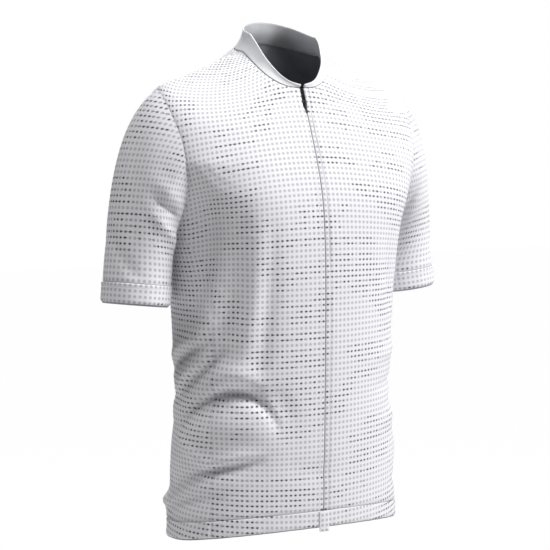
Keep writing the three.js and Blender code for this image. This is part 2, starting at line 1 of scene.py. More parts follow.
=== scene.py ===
# %% [markdown]
# # A short-sleeved cycling jersey
# A cycling jersey is a thin knitted shell. Filled out, it shows its cut: a round chest, a waist that
# creases when the body bends, sleeves that come straight down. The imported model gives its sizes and
# its walls. Here each panel is made again as fine cloth on the same form, then given its folds, its
# seams and its stitches. Lengths are worked out in millimetres and turned into metres at the end.

# %% Load the frame
import math
import bmesh
import bpy
import numpy as np
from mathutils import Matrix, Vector


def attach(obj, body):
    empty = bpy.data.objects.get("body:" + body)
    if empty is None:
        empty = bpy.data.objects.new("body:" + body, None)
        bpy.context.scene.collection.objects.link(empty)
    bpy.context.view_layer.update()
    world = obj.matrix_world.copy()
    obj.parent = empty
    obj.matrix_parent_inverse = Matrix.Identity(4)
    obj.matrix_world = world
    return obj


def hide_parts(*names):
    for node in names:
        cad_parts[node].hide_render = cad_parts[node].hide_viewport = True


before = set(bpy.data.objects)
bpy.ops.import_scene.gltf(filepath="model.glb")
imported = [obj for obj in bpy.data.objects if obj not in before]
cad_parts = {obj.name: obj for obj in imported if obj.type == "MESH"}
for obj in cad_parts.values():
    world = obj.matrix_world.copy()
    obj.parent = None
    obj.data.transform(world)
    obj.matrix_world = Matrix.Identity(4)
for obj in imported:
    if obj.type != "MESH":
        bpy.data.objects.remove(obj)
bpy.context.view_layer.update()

MM = 0.001

# %% [markdown]
# ## The camera
# The jersey is seen from its right and a little above the waist, from about two metres. A long lens at
# that distance keeps the near sleeve from looking larger than the far one.

# %% Camera
CAMERA_DISTANCE = 1900
CAMERA_HEIGHT = -153
CAMERA_SIDEWAYS = -14.2
camera_turn = math.radians(-30)
camera_drop = math.radians(5.45)
away = Vector((math.sin(camera_turn), -math.cos(camera_turn), 0))
across = Vector((math.cos(camera_turn), math.sin(camera_turn), 0))

camera_data = bpy.data.cameras.new("camera")
camera_data.lens = 82.9
camera_data.sensor_width = 36
camera_data.clip_end = 60
camera = bpy.data.objects.new("camera", camera_data)
bpy.context.scene.collection.objects.link(camera)
camera.location = (away * CAMERA_DISTANCE + across * CAMERA_SIDEWAYS + Vector((0, 0, CAMERA_HEIGHT))) * MM
camera.rotation_euler = (math.radians(90) - camera_drop, 0, camera_turn)
bpy.context.scene.camera = camera
print("camera at", [round(value, 3) for value in camera.location])

# %% [markdown]
# ## The body's form
# A garment block can be described by its girths. Each row of this table is one section round the body:
# its height at the side, centre front and centre back, its half width, its depth, and how square it is.
# Everything between the rows is a smooth curve through them, so a few numbers carry the whole shape.

# %% Sections
COLUMNS = ("side_z", "half_width", "mid_y", "front_y", "back_y", "front_z", "back_z", "square", "fall", "lean")
SECTIONS = {
    "hem": (-719.5, 187.5, 0, -113.5, 125, -694, -746, 2.2, 1.2, 7),
    "hem_seam": (-693.5, 185, 0, -113.5, 124.5, -669, -719.5, 2.2, 1.2, 7),
    "hip": (-621.5, 180.5, 1, -115, 123, -608.5, -634.5, 2.2, 1.4, 4),
    "waist": (-502.5, 174, 3, -116.5, 118.5, -500, -507.5, 2.2, 2, 0),
    "ribs": (-390.5, 174.5, 4, -117, 120, -392.5, -388.5, 2.3, 2, 0),
    "chest": (-309.5, 180.5, 4, -116.5, 122.5, -318, -301.5, 2.4, 2, 0),
    "underarm": (-257.5, 188, 4, -114.5, 122, -269.5, -249.5, 2.6, 2, 0),
    "armhole": (-189.5, 204.5, 4, -108, 121.5, -214.5, -189.5, 3, 1.8, 0),
    "chest_top": (-115, 212.5, 4, -93.5, 117.5, -164.5, -142, 3, 1.6, 0),
    "shoulder": (-62, 205, 6, -79.5, 108, -128, -102.5, 2.6, 1.4, 0),
    "slope_low": (-40.5, 156.5, 10, -69.5, 98, -104.5, -59, 2.5, 1.4, 0),
    "slope_high": (-20, 105, 12, -58.5, 87, -81, -20, 2.4, 1.4, 0),
    "neck": (-2.5, 65, 15, -49.5, 77, -57, 14.5, 2.5, 1.4, 0),
}
COLLAR_RIM = dict(zip(COLUMNS, (22, 57, 5, -52.5, 69, -53.5, 46.5, 2.1, 1.3, 0)))
table = np.array(list(SECTIONS.values()), float)
rise = np.hypot(np.diff(table[:, 1]), np.diff(table[:, 0]))
distances = np.concatenate([[0], np.cumsum(rise)])
AT = dict(zip(SECTIONS, distances))
print("from hem to neck along the side:", round(AT["neck"]), "mm")


# %% Curves through the sections
def smooth_through(xs, ys):
    xs, ys = np.asarray(xs, float), np.asarray(ys, float)
    step = np.diff(xs)
    slope = np.diff(ys) / step
    tangent = np.empty_like(xs)
    tangent[0], tangent[-1] = slope[0], slope[-1]
    tangent[1:-1] = (slope[:-1] * step[1:] + slope[1:] * step[:-1]) / (step[:-1] + step[1:])

    def value_at(x):
        x = np.asarray(x, float)
        i = np.clip(np.searchsorted(xs, x, side="right") - 1, 0, len(step) - 1)
        u = np.clip((x - xs[i]) / step[i], 0, 1)
        bend = (1 - u) ** 2 * u * tangent[i] - u * u * (1 - u) * tangent[i + 1]
        value = ys[i] + (ys[i + 1] - ys[i]) * (3 - 2 * u) * u * u + step[i] * bend
        return value + np.minimum(x - xs[0], 0) * tangent[0] + np.maximum(x - xs[-1], 0) * tangent[-1]

    return value_at


column_at = {name: smooth_through(distances, table[:, i]) for i, name in enumerate(COLUMNS)}


def section_at(distance):
    return {name: curve(distance) for name, curve in column_at.items()}


# %% Points on the body
def ring_point(ring, angle):
    in_front = np.cos(angle) >= 0
    depth = np.where(in_front, ring["mid_y"] - ring["front_y"], ring["back_y"] - ring["mid_y"])
    along = np.abs(np.cos(angle)) / depth
    out = np.abs(np.sin(angle)) / ring["half_width"]
    reach = (along ** ring["square"] + out ** ring["square"]) ** (-1 / ring["square"])
    climb = np.where(in_front, ring["front_z"], ring["back_z"]) - ring["side_z"]
    x = reach * np.sin(angle)
    y = ring["mid_y"] - reach * np.cos(angle)
    z = ring["side_z"] + climb * (along * reach) ** ring["fall"] - ring["lean"] * x / ring["half_width"]
    return np.stack(np.broadcast_arrays(x, y, z), axis=-1)


def body_form(angle, distance):
    return ring_point(section_at(distance), angle)


def unit(vectors):
    return vectors / np.maximum(np.linalg.norm(vectors, axis=-1, keepdims=True), 1e-9)


def body_outward(angle, distance):
    along = body_form(angle + 0.01, distance) - body_form(angle - 0.01, distance)
    up = body_form(angle, distance + 1) - body_form(angle, distance - 1)
    return unit(np.cross(along, up))


def signed(angle):
    return np.where(angle > math.pi, angle - 2 * math.pi, angle)


print("centre front at the chest:", body_form(np.array(0.0), np.array(AT["chest"])).round(1))

# %% [markdown]
# ## Folds
# Knitted cloth folds where it has length to spare: at the waist, under the arms and above the hem.
# A fold here is a bowed line on the body with a width above it, a width below it and a depth. Troughs
# and ridges are placed one by one, so no two have the same length, depth or spacing, and the large
# ones agree with the solid model. Each row says where a fold starts, which way it bows and where it
# ends, then its width above, its width below and its depth. A place is an angle round from the centre
# front, in degrees, and a height.

# %% Folds of the body
BODY_FOLDS = {
    "arch at the right waist": ((-100, -555), (-40, -439), (-25, -531), 17, 17, -6),
    "roll under the arch": ((-92, -595), (-58, -493), (-34, -570), 20, 20, 4.5),
    "tuck above the right hem": ((-104, -658), (-84, -598), (-48, -598), 15, 15, -5),
    "pinch behind the right waist": ((-138, -505), (-110, -492), (-88, -513), 14, 14, -5),
    "overhang above the right hem": ((-94, -670), (-114, -687), (-140, -674), 15, 15, 7),
    "tuck at the left waist": ((108, -564), (80, -508), (58, -534), 19, 19, -4.5),
    "roll at the left hip": ((104, -626), (84, -590), (60, -606), 22, 22, 4),
}
FINE_FOLDS = {
    "edge of the arch": ((-92, -552), (-57, -436), (-34, -534), 5.5, 9.5, -10.5),
    "ridge over the arch": ((-86, -522), (-60, -418), (-36, -500), 15, 9, 6.5),
    "outer drape from the chest": ((-50, -230), (-54, -480), (-88, -488), 16, 16, -9),
    "ridge outside it": ((-60, -262), (-70, -432), (-90, -455), 14, 14, 4),
    "inner drape from the chest": ((-36, -236), (-38, -414), (-46, -476), 14, 14, -4.2),
    "ridge between the drapes": ((-43, -275), (-46, -414), (-57, -480), 14, 14, 2.6),
    "hollow by the right arm": ((-64, -165), (-63, -262), (-74, -385), 40, 40, -24),
    "side roll": ((-68, -398), (-84, -420), (-106, -454), 9, 6, 5),
    "side tuck": ((-70, -422), (-86, -438), (-108, -474), 6, 8, -6),
    "lower side roll": ((-68, -438), (-82, -458), (-100, -502), 8, 8, 5),
    "lower side tuck": ((-58, -430), (-74, -458), (-94, -506), 7, 8, -5.5),
    "hip ridge, rising": ((-92, -554), (-80, -580), (-67, -599), 7, 6, 5),
    "hip ridge, level": ((-74, -594), (-62, -590), (-42, -576), 9, 6, 4.2),
    "hip tuck": ((-95, -646), (-72, -592), (-44, -588), 6, 9, -7),
    "crease over the hem": ((-108, -684), (-84, -648), (-66, -640), 6, 9, -6),
    "bulge over the hem": ((-94, -664), (-108, -672), (-128, -668), 13, 6, 6),
    "soft dip at the belly": ((-30, -600), (-10, -618), (18, -612), 17, 15, -2.2),
    "drape under the left arm": ((50, -268), (50, -330), (60, -404), 11, 11, -3.2),
    "left side roll": ((38, -458), (70, -438), (102, -464), 13, 11, 3.6),
    "left side tuck": ((44, -502), (72, -484), (106, -508), 9, 12, -4.4),
    "lower left roll": ((48, -556), (74, -542), (102, -562), 13, 13, 3.6),
    "hollow by the left arm": ((70, -170), (74, -262), (84, -330), 22, 22, -6),
    "left hem crease": ((106, -676), (88, -648), (64, -652), 8, 10, -4),
    "back waist arch, left": ((142, -560), (122, -462), (98, -536), 8, 13, -5.5),
    "ridge over it, left": ((140, -528), (122, -440), (100, -506), 13, 9, 4),
    "back waist arch, right": ((-144, -548), (-124, -476), (-104, -552), 8, 12, -5),
    "right back drape": ((-128, -300), (-142, -392), (-120, -474), 15, 15, -4.6),
    "left back drape": ((126, -312), (140, -404), (124, -470), 14, 14, -4.2),
    "across the small of the back": ((150, -476), (181, -452), (210, -480), 9, 13, -4.6),
    "roll above it": ((154, -452), (179, -430), (206, -456), 12, 9, 3.6),
    "between the shoulders": ((176, -150), (186, -260), (178, -350), 20, 20, -3),
}
ALL_FOLDS = {**BODY_FOLDS, **FINE_FOLDS}
FOLD_GIRTH = 150
FOLD_STEPS = 32


def bell(offset, width):
    return np.exp(-((offset / width) ** 2))


def bowed_line(start, over, end):
    t = np.linspace(0, 1, FOLD_STEPS + 1)[:, None]
    return (1 - t) ** 2 * np.array(start) + 2 * t * (1 - t) * np.array(over) + t * t * np.array(end)


def faded_at_ends(step):
    return np.sin(math.pi * (0.08 + 0.84 * step / FOLD_STEPS))


def fold_lift(angle, height):
    lift = np.zeros(np.broadcast(angle, height).shape)
    for start, over, end, above, below, depth in ALL_FOLDS.values():
        line = bowed_line(start, over, end) * (math.radians(1) * FOLD_GIRTH, 1)
        tangent = np.gradient(line, axis=0)
        turned = np.asarray(angle)[..., None] - line[:, 0] / FOLD_GIRTH
        dx = ((turned + math.pi) % (2 * math.pi) - math.pi) * FOLD_GIRTH
        dz = np.asarray(height)[..., None] - line[:, 1]
        gap = np.hypot(dx, dz)
        nearest = gap.argmin(axis=-1)
        gap = gap.min(axis=-1)
        flat = np.broadcast_to(np.take_along_axis(dx, nearest[..., None], -1)[..., 0], gap.shape)
        tall = np.take_along_axis(dz, nearest[..., None], -1)[..., 0]
        side = tangent[nearest, 0] * tall - tangent[nearest, 1] * flat
        side = side * np.sign(line[-1, 0] - line[0, 0])
        width = np.where(side > 0, above, below)
        lift = lift + depth * bell(gap, width) * faded_at_ends(nearest)
    return lift


print(len(BODY_FOLDS), "large and", len(FINE_FOLDS), "fine folds on the body")

# %% [markdown]
# ## The flat cut
# The print and the knit run with the cloth, so every point needs its place in the flat cut: how far
# round it lies from the centre line, and how far up. Both are measured along the form. The result goes
# into a UV map in metres, which lets one material keep its true scale on every panel.

# %% Lengths along the form
ROUND = np.radians(np.linspace(0, 180, 181))
ALONG = np.linspace(-8, AT["neck"] + 2, 240)
rings = body_form(ROUND[None, :], ALONG[:, None])
ring_lengths = np.cumsum(np.linalg.norm(np.diff(rings, axis=1, prepend=rings[:, :1]), axis=-1), axis=1)
climb_lengths = np.cumsum(np.linalg.norm(np.diff(rings, axis=0, prepend=rings[:1]), axis=-1), axis=0)
waist_row = np.abs(ALONG - AT["waist"]).argmin()
climb_lengths = climb_lengths - climb_lengths[waist_row] + rings[waist_row, :, 2]
PRINT_DROOP = 30


def look_up(values, angle, distance):
    a = np.clip(np.degrees(np.abs(angle)), 0, 179.999)
    d = np.clip((distance - ALONG[0]) / (ALONG[1] - ALONG[0]), 0, len(ALONG) - 1.001)
    a, d = np.broadcast_arrays(a, d)
    i, j = d.astype(int), a.astype(int)
    u, v = d - i, a - j
    low = values[i, j] * (1 - v) + values[i, j + 1] * v
    high = values[i + 1, j] * (1 - v) + values[i + 1, j + 1] * v
    return low * (1 - u) + high * u


def ease(x, low, high):
    t = np.clip((x - low) / (high - low), 0, 1)
    return t * t * (3 - 2 * t)


def body_cut(angle, distance, from_back):
    u = look_up(ring_lengths, angle, distance)
    v = look_up(climb_lengths, angle, distance)
    v = v + PRINT_DROOP * np.clip(u / 220, 0, 1) ** 2 * ease(v, -400, -170)
    if from_back:
        u = look_up(ring_lengths, np.array(math.pi * 0.9999), distance) - u
    return np.stack([np.sign(angle) * u, v], axis=-1)


chest_row = np.abs(ALONG - AT["chest"]).argmin()
print("chest girth of the block:", round(2 * float(ring_lengths[chest_row, -1])), "mm")


# %% Where the panels end
FRONT_OPENING = 18.2
BACK_OPENING = 20


def armhole_angle(distance, opening):
    share = np.clip((distance - AT["underarm"]) / (AT["shoulder"] - AT["underarm"]), 0, 1) ** 1.1
    return math.radians(90) - math.radians(opening) * np.sqrt(np.maximum(0, 1 - (2 * share - 1) ** 2))


def side_seam_angle(distance):
    down = np.clip((AT["underarm"] - distance) / 110, 0, 1)
    return math.radians(90) - math.radians(22) * (1 - (1 - down) ** 2)


def front_edge(distance):
    armhole = armhole_angle(distance, FRONT_OPENING)
    upper = np.where(distance > AT["shoulder"], math.radians(90), armhole)
    return np.where(distance < AT["underarm"], side_seam_angle(distance), upper)


def back_edge(distance):
    armhole = math.pi - armhole_angle(distance, BACK_OPENING)
    upper = np.where(distance > AT["shoulder"], math.radians(90), armhole)
    return np.where(distance < AT["underarm"], side_seam_angle(distance), upper)


def angle_for(millimetres, angle, distance):
    step = np.linalg.norm(body_form(angle + 0.01, distance) - body_form(angle - 0.01, distance), axis=-1)
    return millimetres * 0.02 / step


def distance_at_front(height):
    steps = np.linspace(0, AT["neck"], 4001)
    return float(np.interp(height, column_at["front_z"](steps), steps))


SLIDER_Z = -79
ZIP_CLOSED, ZIP_OPEN = 0.35, 3.2
ZIP_GAP = [(0, ZIP_CLOSED), (distance_at_front(SLIDER_Z - 12), ZIP_CLOSED),
           (distance_at_front(SLIDER_Z - 5), 3.1), (distance_at_front(SLIDER_Z + 5), ZIP_OPEN),
           (AT["neck"], ZIP_OPEN)]


def zip_half_gap(distance):
    return np.interp(distance, [row[0] for row in ZIP_GAP], [row[1] for row in ZIP_GAP])


# %% [markdown]
# ## Cloth as mesh
# A panel is a grid of quads laid on the form, with its lines drawn closer together at the seams, where
# the cloth dips and its colour is darkened as painted shade. A Solidify modifier gives it its real
# thickness, and a second material slot paints the inside of the cloth dark grey, as shade.

# %% Cloth builder
CLOTH_THICKNESS = 0.9
CLOTH_STEP = 4.8


def steps_between(low, high, step, near_edges=(0.7, 1.6, 3, 5)):
    edge = np.array(near_edges)
    middle = np.linspace(low + 8, high - 8, max(2, round((high - low - 16) / step) + 1))
    return np.concatenate([[low], low + edge, middle, high - edge[::-1], [high]])


def cloth_object(name, node, points, outward, cut, seam=None, materials=None, thickness=CLOTH_THICKNESS):
    rows, columns = points.shape[:2]
    index = np.arange(rows * columns).reshape(rows, columns)
    corners = [index[:-1, :-1], index[:-1, 1:], index[1:, 1:], index[1:, :-1]]
    quads = np.stack([corner.ravel() for corner in corners], axis=-1)
    flat = points.reshape(-1, 3)
    across_quad = flat[quads[:, 1]] - flat[quads[:, 0]]
    up_quad = flat[quads[:, 3]] - flat[quads[:, 0]]
    facing = (np.cross(across_quad, up_quad) * outward.reshape(-1, 3)[quads[:, 0]]).sum()
    if facing < 0:
        quads = quads[:, ::-1]
    mesh = bpy.data.meshes.new(name)
    mesh.from_pydata((flat * MM).tolist(), [], quads.tolist())
    layer = mesh.uv_layers.new(name="cut")
    layer.data.foreach_set("uv", (cut.reshape(-1, 2)[quads.ravel()] * MM).ravel())
    # painted shade: the seam value is kept on the mesh, and the printed knit darkens its colour by it
    if seam is not None:
        attribute = mesh.attributes.new("seam", "FLOAT", "POINT")
        attribute.data.foreach_set("value", np.broadcast_to(seam, (rows, columns)).ravel().astype(np.float32))
    mesh.shade_smooth()
    cloth = bpy.data.objects.new(name, mesh)
    bpy.context.scene.collection.objects.link(cloth)
    # painted shade: unless told otherwise, the inner faces made by Solidify get the dark grey inside material
    outside, inside = materials or (PRINTED, INSIDE_SHADE)
    mesh.materials.append(outside)
    mesh.materials.append(inside)
    wall = cloth.modifiers.new("thickness", "SOLIDIFY")
    wall.thickness = thickness * MM
    wall.offset = -1
    wall.material_offset = 1
    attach(cloth, "jersey")
    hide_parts(node)
    return cloth


def seam_dip(offset, depth=0.4, width=1.9):
    return -depth * bell(offset, width)


def lengths_along(points):
    return np.concatenate([[0], np.cumsum(np.linalg.norm(np.diff(points, axis=0), axis=-1))])


print("cloth builder ready")

# %% [markdown]
# ## Fabric finishes
# The jersey's knit is sublimation printed: an even grid of soft grey dots, with short broken rows of
# small black dashes scattered over it. The print is worked out from the flat cut, so each dot keeps its
# size on every panel. The knit's own loops are far smaller and only move the light, as bump.

# %% Node helpers
def new_group(name, inputs, outputs):
    group = bpy.data.node_groups.new(name, "ShaderNodeTree")
    for label, kind, value in inputs:
        socket = group.interface.new_socket(label, in_out="INPUT", socket_type=kind)
        if value is not None:
            socket.default_value = value
    for label, kind in outputs:
        group.interface.new_socket(label, in_out="OUTPUT", socket_type=kind)
    return group, group.nodes.new("NodeGroupInput"), group.nodes.new("NodeGroupOutput")


def maths(tree, operation, first, second=None, third=None, clamp=False):
    node = tree.nodes.new("ShaderNodeMath")
    node.operation = operation
    node.use_clamp = clamp
    for socket, value in zip(node.inputs, (first, second, third)):
        if value is None:
            continue
        if isinstance(value, (int, float)):
            socket.default_value = value
        else:
            tree.links.new(value, socket)
    return node.outputs[0]


def vector_maths(tree, operation, first, second=None):
    node = tree.nodes.new("ShaderNodeVectorMath")
    node.operation = operation
    for socket, value in zip(node.inputs, (first, second)):
        if value is None:
            continue
        if isinstance(value, tuple):
            socket.default_value = value
        else:
            tree.links.new(value, socket)
    return node


def mixed_colour(tree, share, first, second):
    node = tree.nodes.new("ShaderNodeMix")
    node.data_type = "RGBA"
    for socket, value in ((node.inputs[0], share), (node.inputs[6], first), (node.inputs[7], second)):
        if isinstance(value, (int, float, tuple)):
            socket.default_value = value
        else:
            tree.links.new(value, socket)
    return node.outputs[2]


# %% Grid of dots
def grid_of_dots():
    group, given, put = new_group(
        "Grid of dots",
        [("Cut", "NodeSocketVector", None), ("Pitch", "NodeSocketVector", (0.0072, 0.0079, 1)),
         ("Squash", "NodeSocketVector", (1, 1, 1)),
         ("Radius", "NodeSocketFloat", 0.0022), ("Softness", "NodeSocketFloat", 0.0014)],
        [("Dot", "NodeSocketFloat"), ("Cell", "NodeSocketVector")],
    )
    scaled = vector_maths(group, "DIVIDE", given.outputs["Cut"])
    group.links.new(given.outputs["Pitch"], scaled.inputs[1])
    cell = vector_maths(group, "FLOOR", scaled.outputs[0])
    fraction = vector_maths(group, "FRACTION", scaled.outputs[0])
    inside = vector_maths(group, "SUBTRACT", fraction.outputs[0], (0.5, 0.5, 0))
    flat = vector_maths(group, "MULTIPLY", inside.outputs[0], (1, 1, 0))
    sized = vector_maths(group, "MULTIPLY", flat.outputs[0])
    group.links.new(given.outputs["Pitch"], sized.inputs[1])
    squashed = vector_maths(group, "MULTIPLY", sized.outputs[0])
    group.links.new(given.outputs["Squash"], squashed.inputs[1])
    from_middle = vector_maths(group, "LENGTH", squashed.outputs[0]).outputs[1]
    past_edge = maths(group, "SUBTRACT", from_middle, given.outputs["Radius"])
    faded = maths(group, "DIVIDE", past_edge, given.outputs["Softness"])
    dot = maths(group, "SUBTRACT", 0.5, faded, clamp=True)
    group.links.new(dot, put.inputs["Dot"])
    group.links.new(cell.outputs[0], put.inputs["Cell"])
    return group


DOT_GRID = grid_of_dots()


# %% Knit loops
def knit_loops():
    group, given, put = new_group(
        "Knit loops",
        [("Cut", "NodeSocketVector", None), ("Loop", "NodeSocketFloat", 0.0009)],
        [("Height", "NodeSocketFloat"), ("Fleck", "NodeSocketFloat")],
    )
    scaled = vector_maths(group, "DIVIDE", given.outputs["Cut"])
    group.links.new(given.outputs["Loop"], scaled.inputs[1])
    parts = group.nodes.new("ShaderNodeSeparateXYZ")
    group.links.new(scaled.outputs[0], parts.inputs[0])
    ribs = maths(group, "SINE", maths(group, "MULTIPLY", parts.outputs[0], math.tau))
    lean = maths(group, "MULTIPLY", maths(group, "ABSOLUTE", ribs), 0.35)
    course = maths(group, "ADD", parts.outputs[1], lean)
    courses = maths(group, "SINE", maths(group, "MULTIPLY", course, math.tau))
    height = maths(group, "MULTIPLY_ADD", ribs, 0.3, maths(group, "MULTIPLY", courses, 0.25))
    noise = group.nodes.new("ShaderNodeTexNoise")
    noise.inputs["Scale"].default_value = 340
    noise.inputs["Detail"].default_value = 3
    group.links.new(given.outputs["Cut"], noise.inputs["Vector"])
    group.links.new(maths(group, "ADD", height, 0.5), put.inputs["Height"])
    group.links.new(noise.outputs[0], put.inputs["Fleck"])
    return group


KNIT = knit_loops()


# %% Soft ageing
def uneven_tone():
    group, given, put = new_group(
        "Uneven tone",
        [("Place", "NodeSocketVector", None), ("Scale", "NodeSocketFloat", 14.0)],
        [("Tone", "NodeSocketFloat")],
    )
    noise = group.nodes.new("ShaderNodeTexNoise")
    noise.inputs["Detail"].default_value = 4
    noise.inputs["Roughness"].default_value = 0.6
    group.links.new(given.outputs["Place"], noise.inputs["Vector"])
    group.links.new(given.outputs["Scale"], noise.inputs["Scale"])
    group.links.new(noise.outputs[0], put.inputs["Tone"])
    return group


UNEVEN = uneven_tone()


# %% Material starter
def new_material(name, roughness, sheen=0.0, specular=0.3):
    material = bpy.data.materials.new(name)
    material.use_nodes = True
    tree = material.node_tree
    shader = tree.nodes["Principled BSDF"]
    shader.inputs["Roughness"].default_value = roughness
    shader.inputs["Sheen Weight"].default_value = sheen
    shader.inputs["Specular IOR Level"].default_value = specular
    return material, tree, shader


def placed(tree, group, place, **settings):
    node = tree.nodes.new("ShaderNodeGroup")
    node.node_tree = group
    tree.links.new(place, node.inputs[0])
    for label, value in settings.items():
        node.inputs[label].default_value = value
    return node


def cut_coordinates(tree):
    node = tree.nodes.new("ShaderNodeUVMap")
    node.uv_map = "cut"
    return node.outputs[0]


def chance(tree, dimensions, socket, place):
    node = tree.nodes.new("ShaderNodeTexWhiteNoise")
    node.noise_dimensions = dimensions
    tree.links.new(place, node.inputs[socket])
    return node.outputs["Value"]


def bump(tree, shader, height, depth):
    node = tree.nodes.new("ShaderNodeBump")
    node.inputs["Strength"].default_value = 1
    node.inputs["Distance"].default_value = depth
    tree.links.new(height, node.inputs["Height"])
    tree.links.new(node.outputs[0], shader.inputs["Normal"])


# %% [markdown]
# The broken rows of black dashes come from three random choices on the print's own grid: which patches
# carry them, which rows in a patch are printed, and which dashes in a row are missing. Smaller ones sit
# between them on a grid of half the pitch. The layout is this script's own.

# %% Printed knit
CLOTH_WHITE = (0.81, 0.803, 0.835, 1)
GREY_DOT = (0.44, 0.435, 0.47, 1)
BLACK_DASH = (0.012, 0.012, 0.016, 1)


def black_dashes(tree, cut, grid):
    cell = tree.nodes.new("ShaderNodeSeparateXYZ")
    tree.links.new(grid.outputs["Cell"], cell.inputs[0])
    in_row = maths(tree, "GREATER_THAN", chance(tree, "1D", "W", cell.outputs[1]), 0.16)
    patches = tree.nodes.new("ShaderNodeTexNoise")
    patches.inputs["Scale"].default_value = 1
    patches.inputs["Detail"].default_value = 2.5
    stretched = vector_maths(tree, "MULTIPLY", cut, (9.5, 13.0, 1))
    tree.links.new(stretched.outputs[0], patches.inputs["Vector"])
    in_patch = maths(tree, "GREATER_THAN", patches.outputs[0], 0.49)
    kept = chance(tree, "3D", "Vector", grid.outputs["Cell"])
    inked = maths(tree, "MULTIPLY_ADD", kept, 3.2, -0.55, clamp=True)
    dash = placed(tree, DOT_GRID, cut, Squash=(0.8, 1.3, 1), Radius=0.0014, Softness=0.0009)
    between = placed(tree, DOT_GRID, cut, Pitch=(0.0036, 0.0079, 1), Squash=(0.62, 1.3, 1),
                     Radius=0.0009, Softness=0.0008)
    stray = maths(tree, "GREATER_THAN", chance(tree, "3D", "Vector", between.outputs["Cell"]), 0.62)
    strays = maths(tree, "MULTIPLY", stray, between.outputs["Dot"])
    dashes = maths(tree, "MULTIPLY", inked, dash.outputs["Dot"])
    marks = maths(tree, "MAXIMUM", dashes, maths(tree, "MULTIPLY", strays, 0.7))
    return maths(tree, "MULTIPLY", maths(tree, "MULTIPLY", in_patch, in_row), marks)


def printed_knit():
    material, tree, shader = new_material("printed knit", 0.8, sheen=0.12)
    cut = cut_coordinates(tree)
    grid, tone, loops = (placed(tree, group, cut) for group in (DOT_GRID, UNEVEN, KNIT))
    base = mixed_colour(tree, tone.outputs["Tone"], (0.775, 0.768, 0.802, 1), CLOTH_WHITE)
    fleck = maths(tree, "MULTIPLY", loops.outputs["Fleck"], 0.16)
    flecked = mixed_colour(tree, fleck, base, (0.6, 0.6, 0.64, 1))
    dotted = mixed_colour(tree, maths(tree, "MULTIPLY", grid.outputs["Dot"], 0.88), flecked, GREY_DOT)
    dashed = mixed_colour(tree, black_dashes(tree, cut, grid), dotted, BLACK_DASH)
    # painted shade: the seam value mixes the print towards grey along seams, zip edges, neck and hem
    seam = tree.nodes.new("ShaderNodeAttribute")
    seam.attribute_name = "seam"
    crease = maths(tree, "MULTIPLY", seam.outputs["Fac"], 0.16)
    seam_shaded = mixed_colour(tree, crease, dashed, (0.3, 0.3, 0.33, 1))
    tree.links.new(seam_shaded, shader.inputs["Base Color"])
    tree.links.new(maths(tree, "MULTIPLY_ADD", loops.outputs["Fleck"], 0.14, 0.7), shader.inputs["Roughness"])
    bump(tree, shader, loops.outputs["Height"], 0.00016)
    return material


PRINTED = printed_knit()


# %% Plain knit, painted shade for the inside of the cloth and of the collar, and thread
def plain_knit(name, light, dark, roughness, depth):
    material, tree, shader = new_material(name, roughness, sheen=0.12)
    cut = cut_coordinates(tree)
    loops, tone = placed(tree, KNIT, cut), placed(tree, UNEVEN, cut)
    base = mixed_colour(tree, tone.outputs["Tone"], (*dark, 1), (*light, 1))
    deepest = tuple(0.7 * value for value in dark)
    fleck = maths(tree, "MULTIPLY", loops.outputs["Fleck"], 0.14)
    tree.links.new(mixed_colour(tree, fleck, base, (*deepest, 1)), shader.inputs["Base Color"])
    rough = maths(tree, "MULTIPLY_ADD", loops.outputs["Fleck"], 0.14, roughness - 0.08)
    tree.links.new(rough, shader.inputs["Roughness"])
    bump(tree, shader, loops.outputs["Height"], depth)
    return material


PLAIN = plain_knit("plain knit", (0.84, 0.845, 0.87), (0.79, 0.795, 0.83), 0.78, 0.00012)
# painted shade: the collar's inner face is the same white cloth as its outside, painted grey as shade
COLLAR_INSIDE_SHADE = plain_knit("collar lining", (0.52, 0.525, 0.55), (0.46, 0.465, 0.49), 0.85, 0.00012)
# painted shade: the inside of the knit gets a dark grey that stands in for the shade inside the jersey
INSIDE_SHADE = plain_knit("knit inside, painted shade", (0.3, 0.31, 0.34), (0.25, 0.26, 0.29), 0.9, 0.0002)
THREAD = plain_knit("thread", (0.58, 0.585, 0.62), (0.5, 0.505, 0.54), 0.7, 0.00005)


# %% Zip finishes
def woven_tape():
    material, tree, shader = new_material("woven zip tape", 0.75, sheen=0.1)
    cut = cut_coordinates(tree)
    scaled = vector_maths(tree, "MULTIPLY", cut, (2200, 2200, 1))
    checker = tree.nodes.new("ShaderNodeTexChecker")
    checker.inputs["Scale"].default_value = 1
    tree.links.new(scaled.outputs[0], checker.inputs["Vector"])
    tone = placed(tree, UNEVEN, cut, Scale=60)
    base = mixed_colour(tree, tone.outputs["Tone"], (0.008, 0.008, 0.009, 1), (0.02, 0.02, 0.023, 1))
    tree.links.new(base, shader.inputs["Base Color"])
    bump(tree, shader, checker.outputs["Fac"], 0.0001)
    return material


def black_enamel():
    material, tree, shader = new_material("black zip enamel", 0.5)
    place = tree.nodes.new("ShaderNodeTexCoord").outputs["Object"]
    tone = placed(tree, UNEVEN, place, Scale=420)
    bare = maths(tree, "SUBTRACT", tone.outputs["Tone"], 0.56, clamp=True)
    worn = maths(tree, "MULTIPLY", bare, 1.2)
    base = mixed_colour(tree, worn, (0.008, 0.008, 0.01, 1), (0.06, 0.06, 0.065, 1))
    tree.links.new(base, shader.inputs["Base Color"])
    rough = maths(tree, "MULTIPLY_ADD", tone.outputs["Tone"], 0.25, 0.42)
    tree.links.new(rough, shader.inputs["Roughness"])
    bump(tree, shader, tone.outputs["Tone"], 0.00004)
    return material


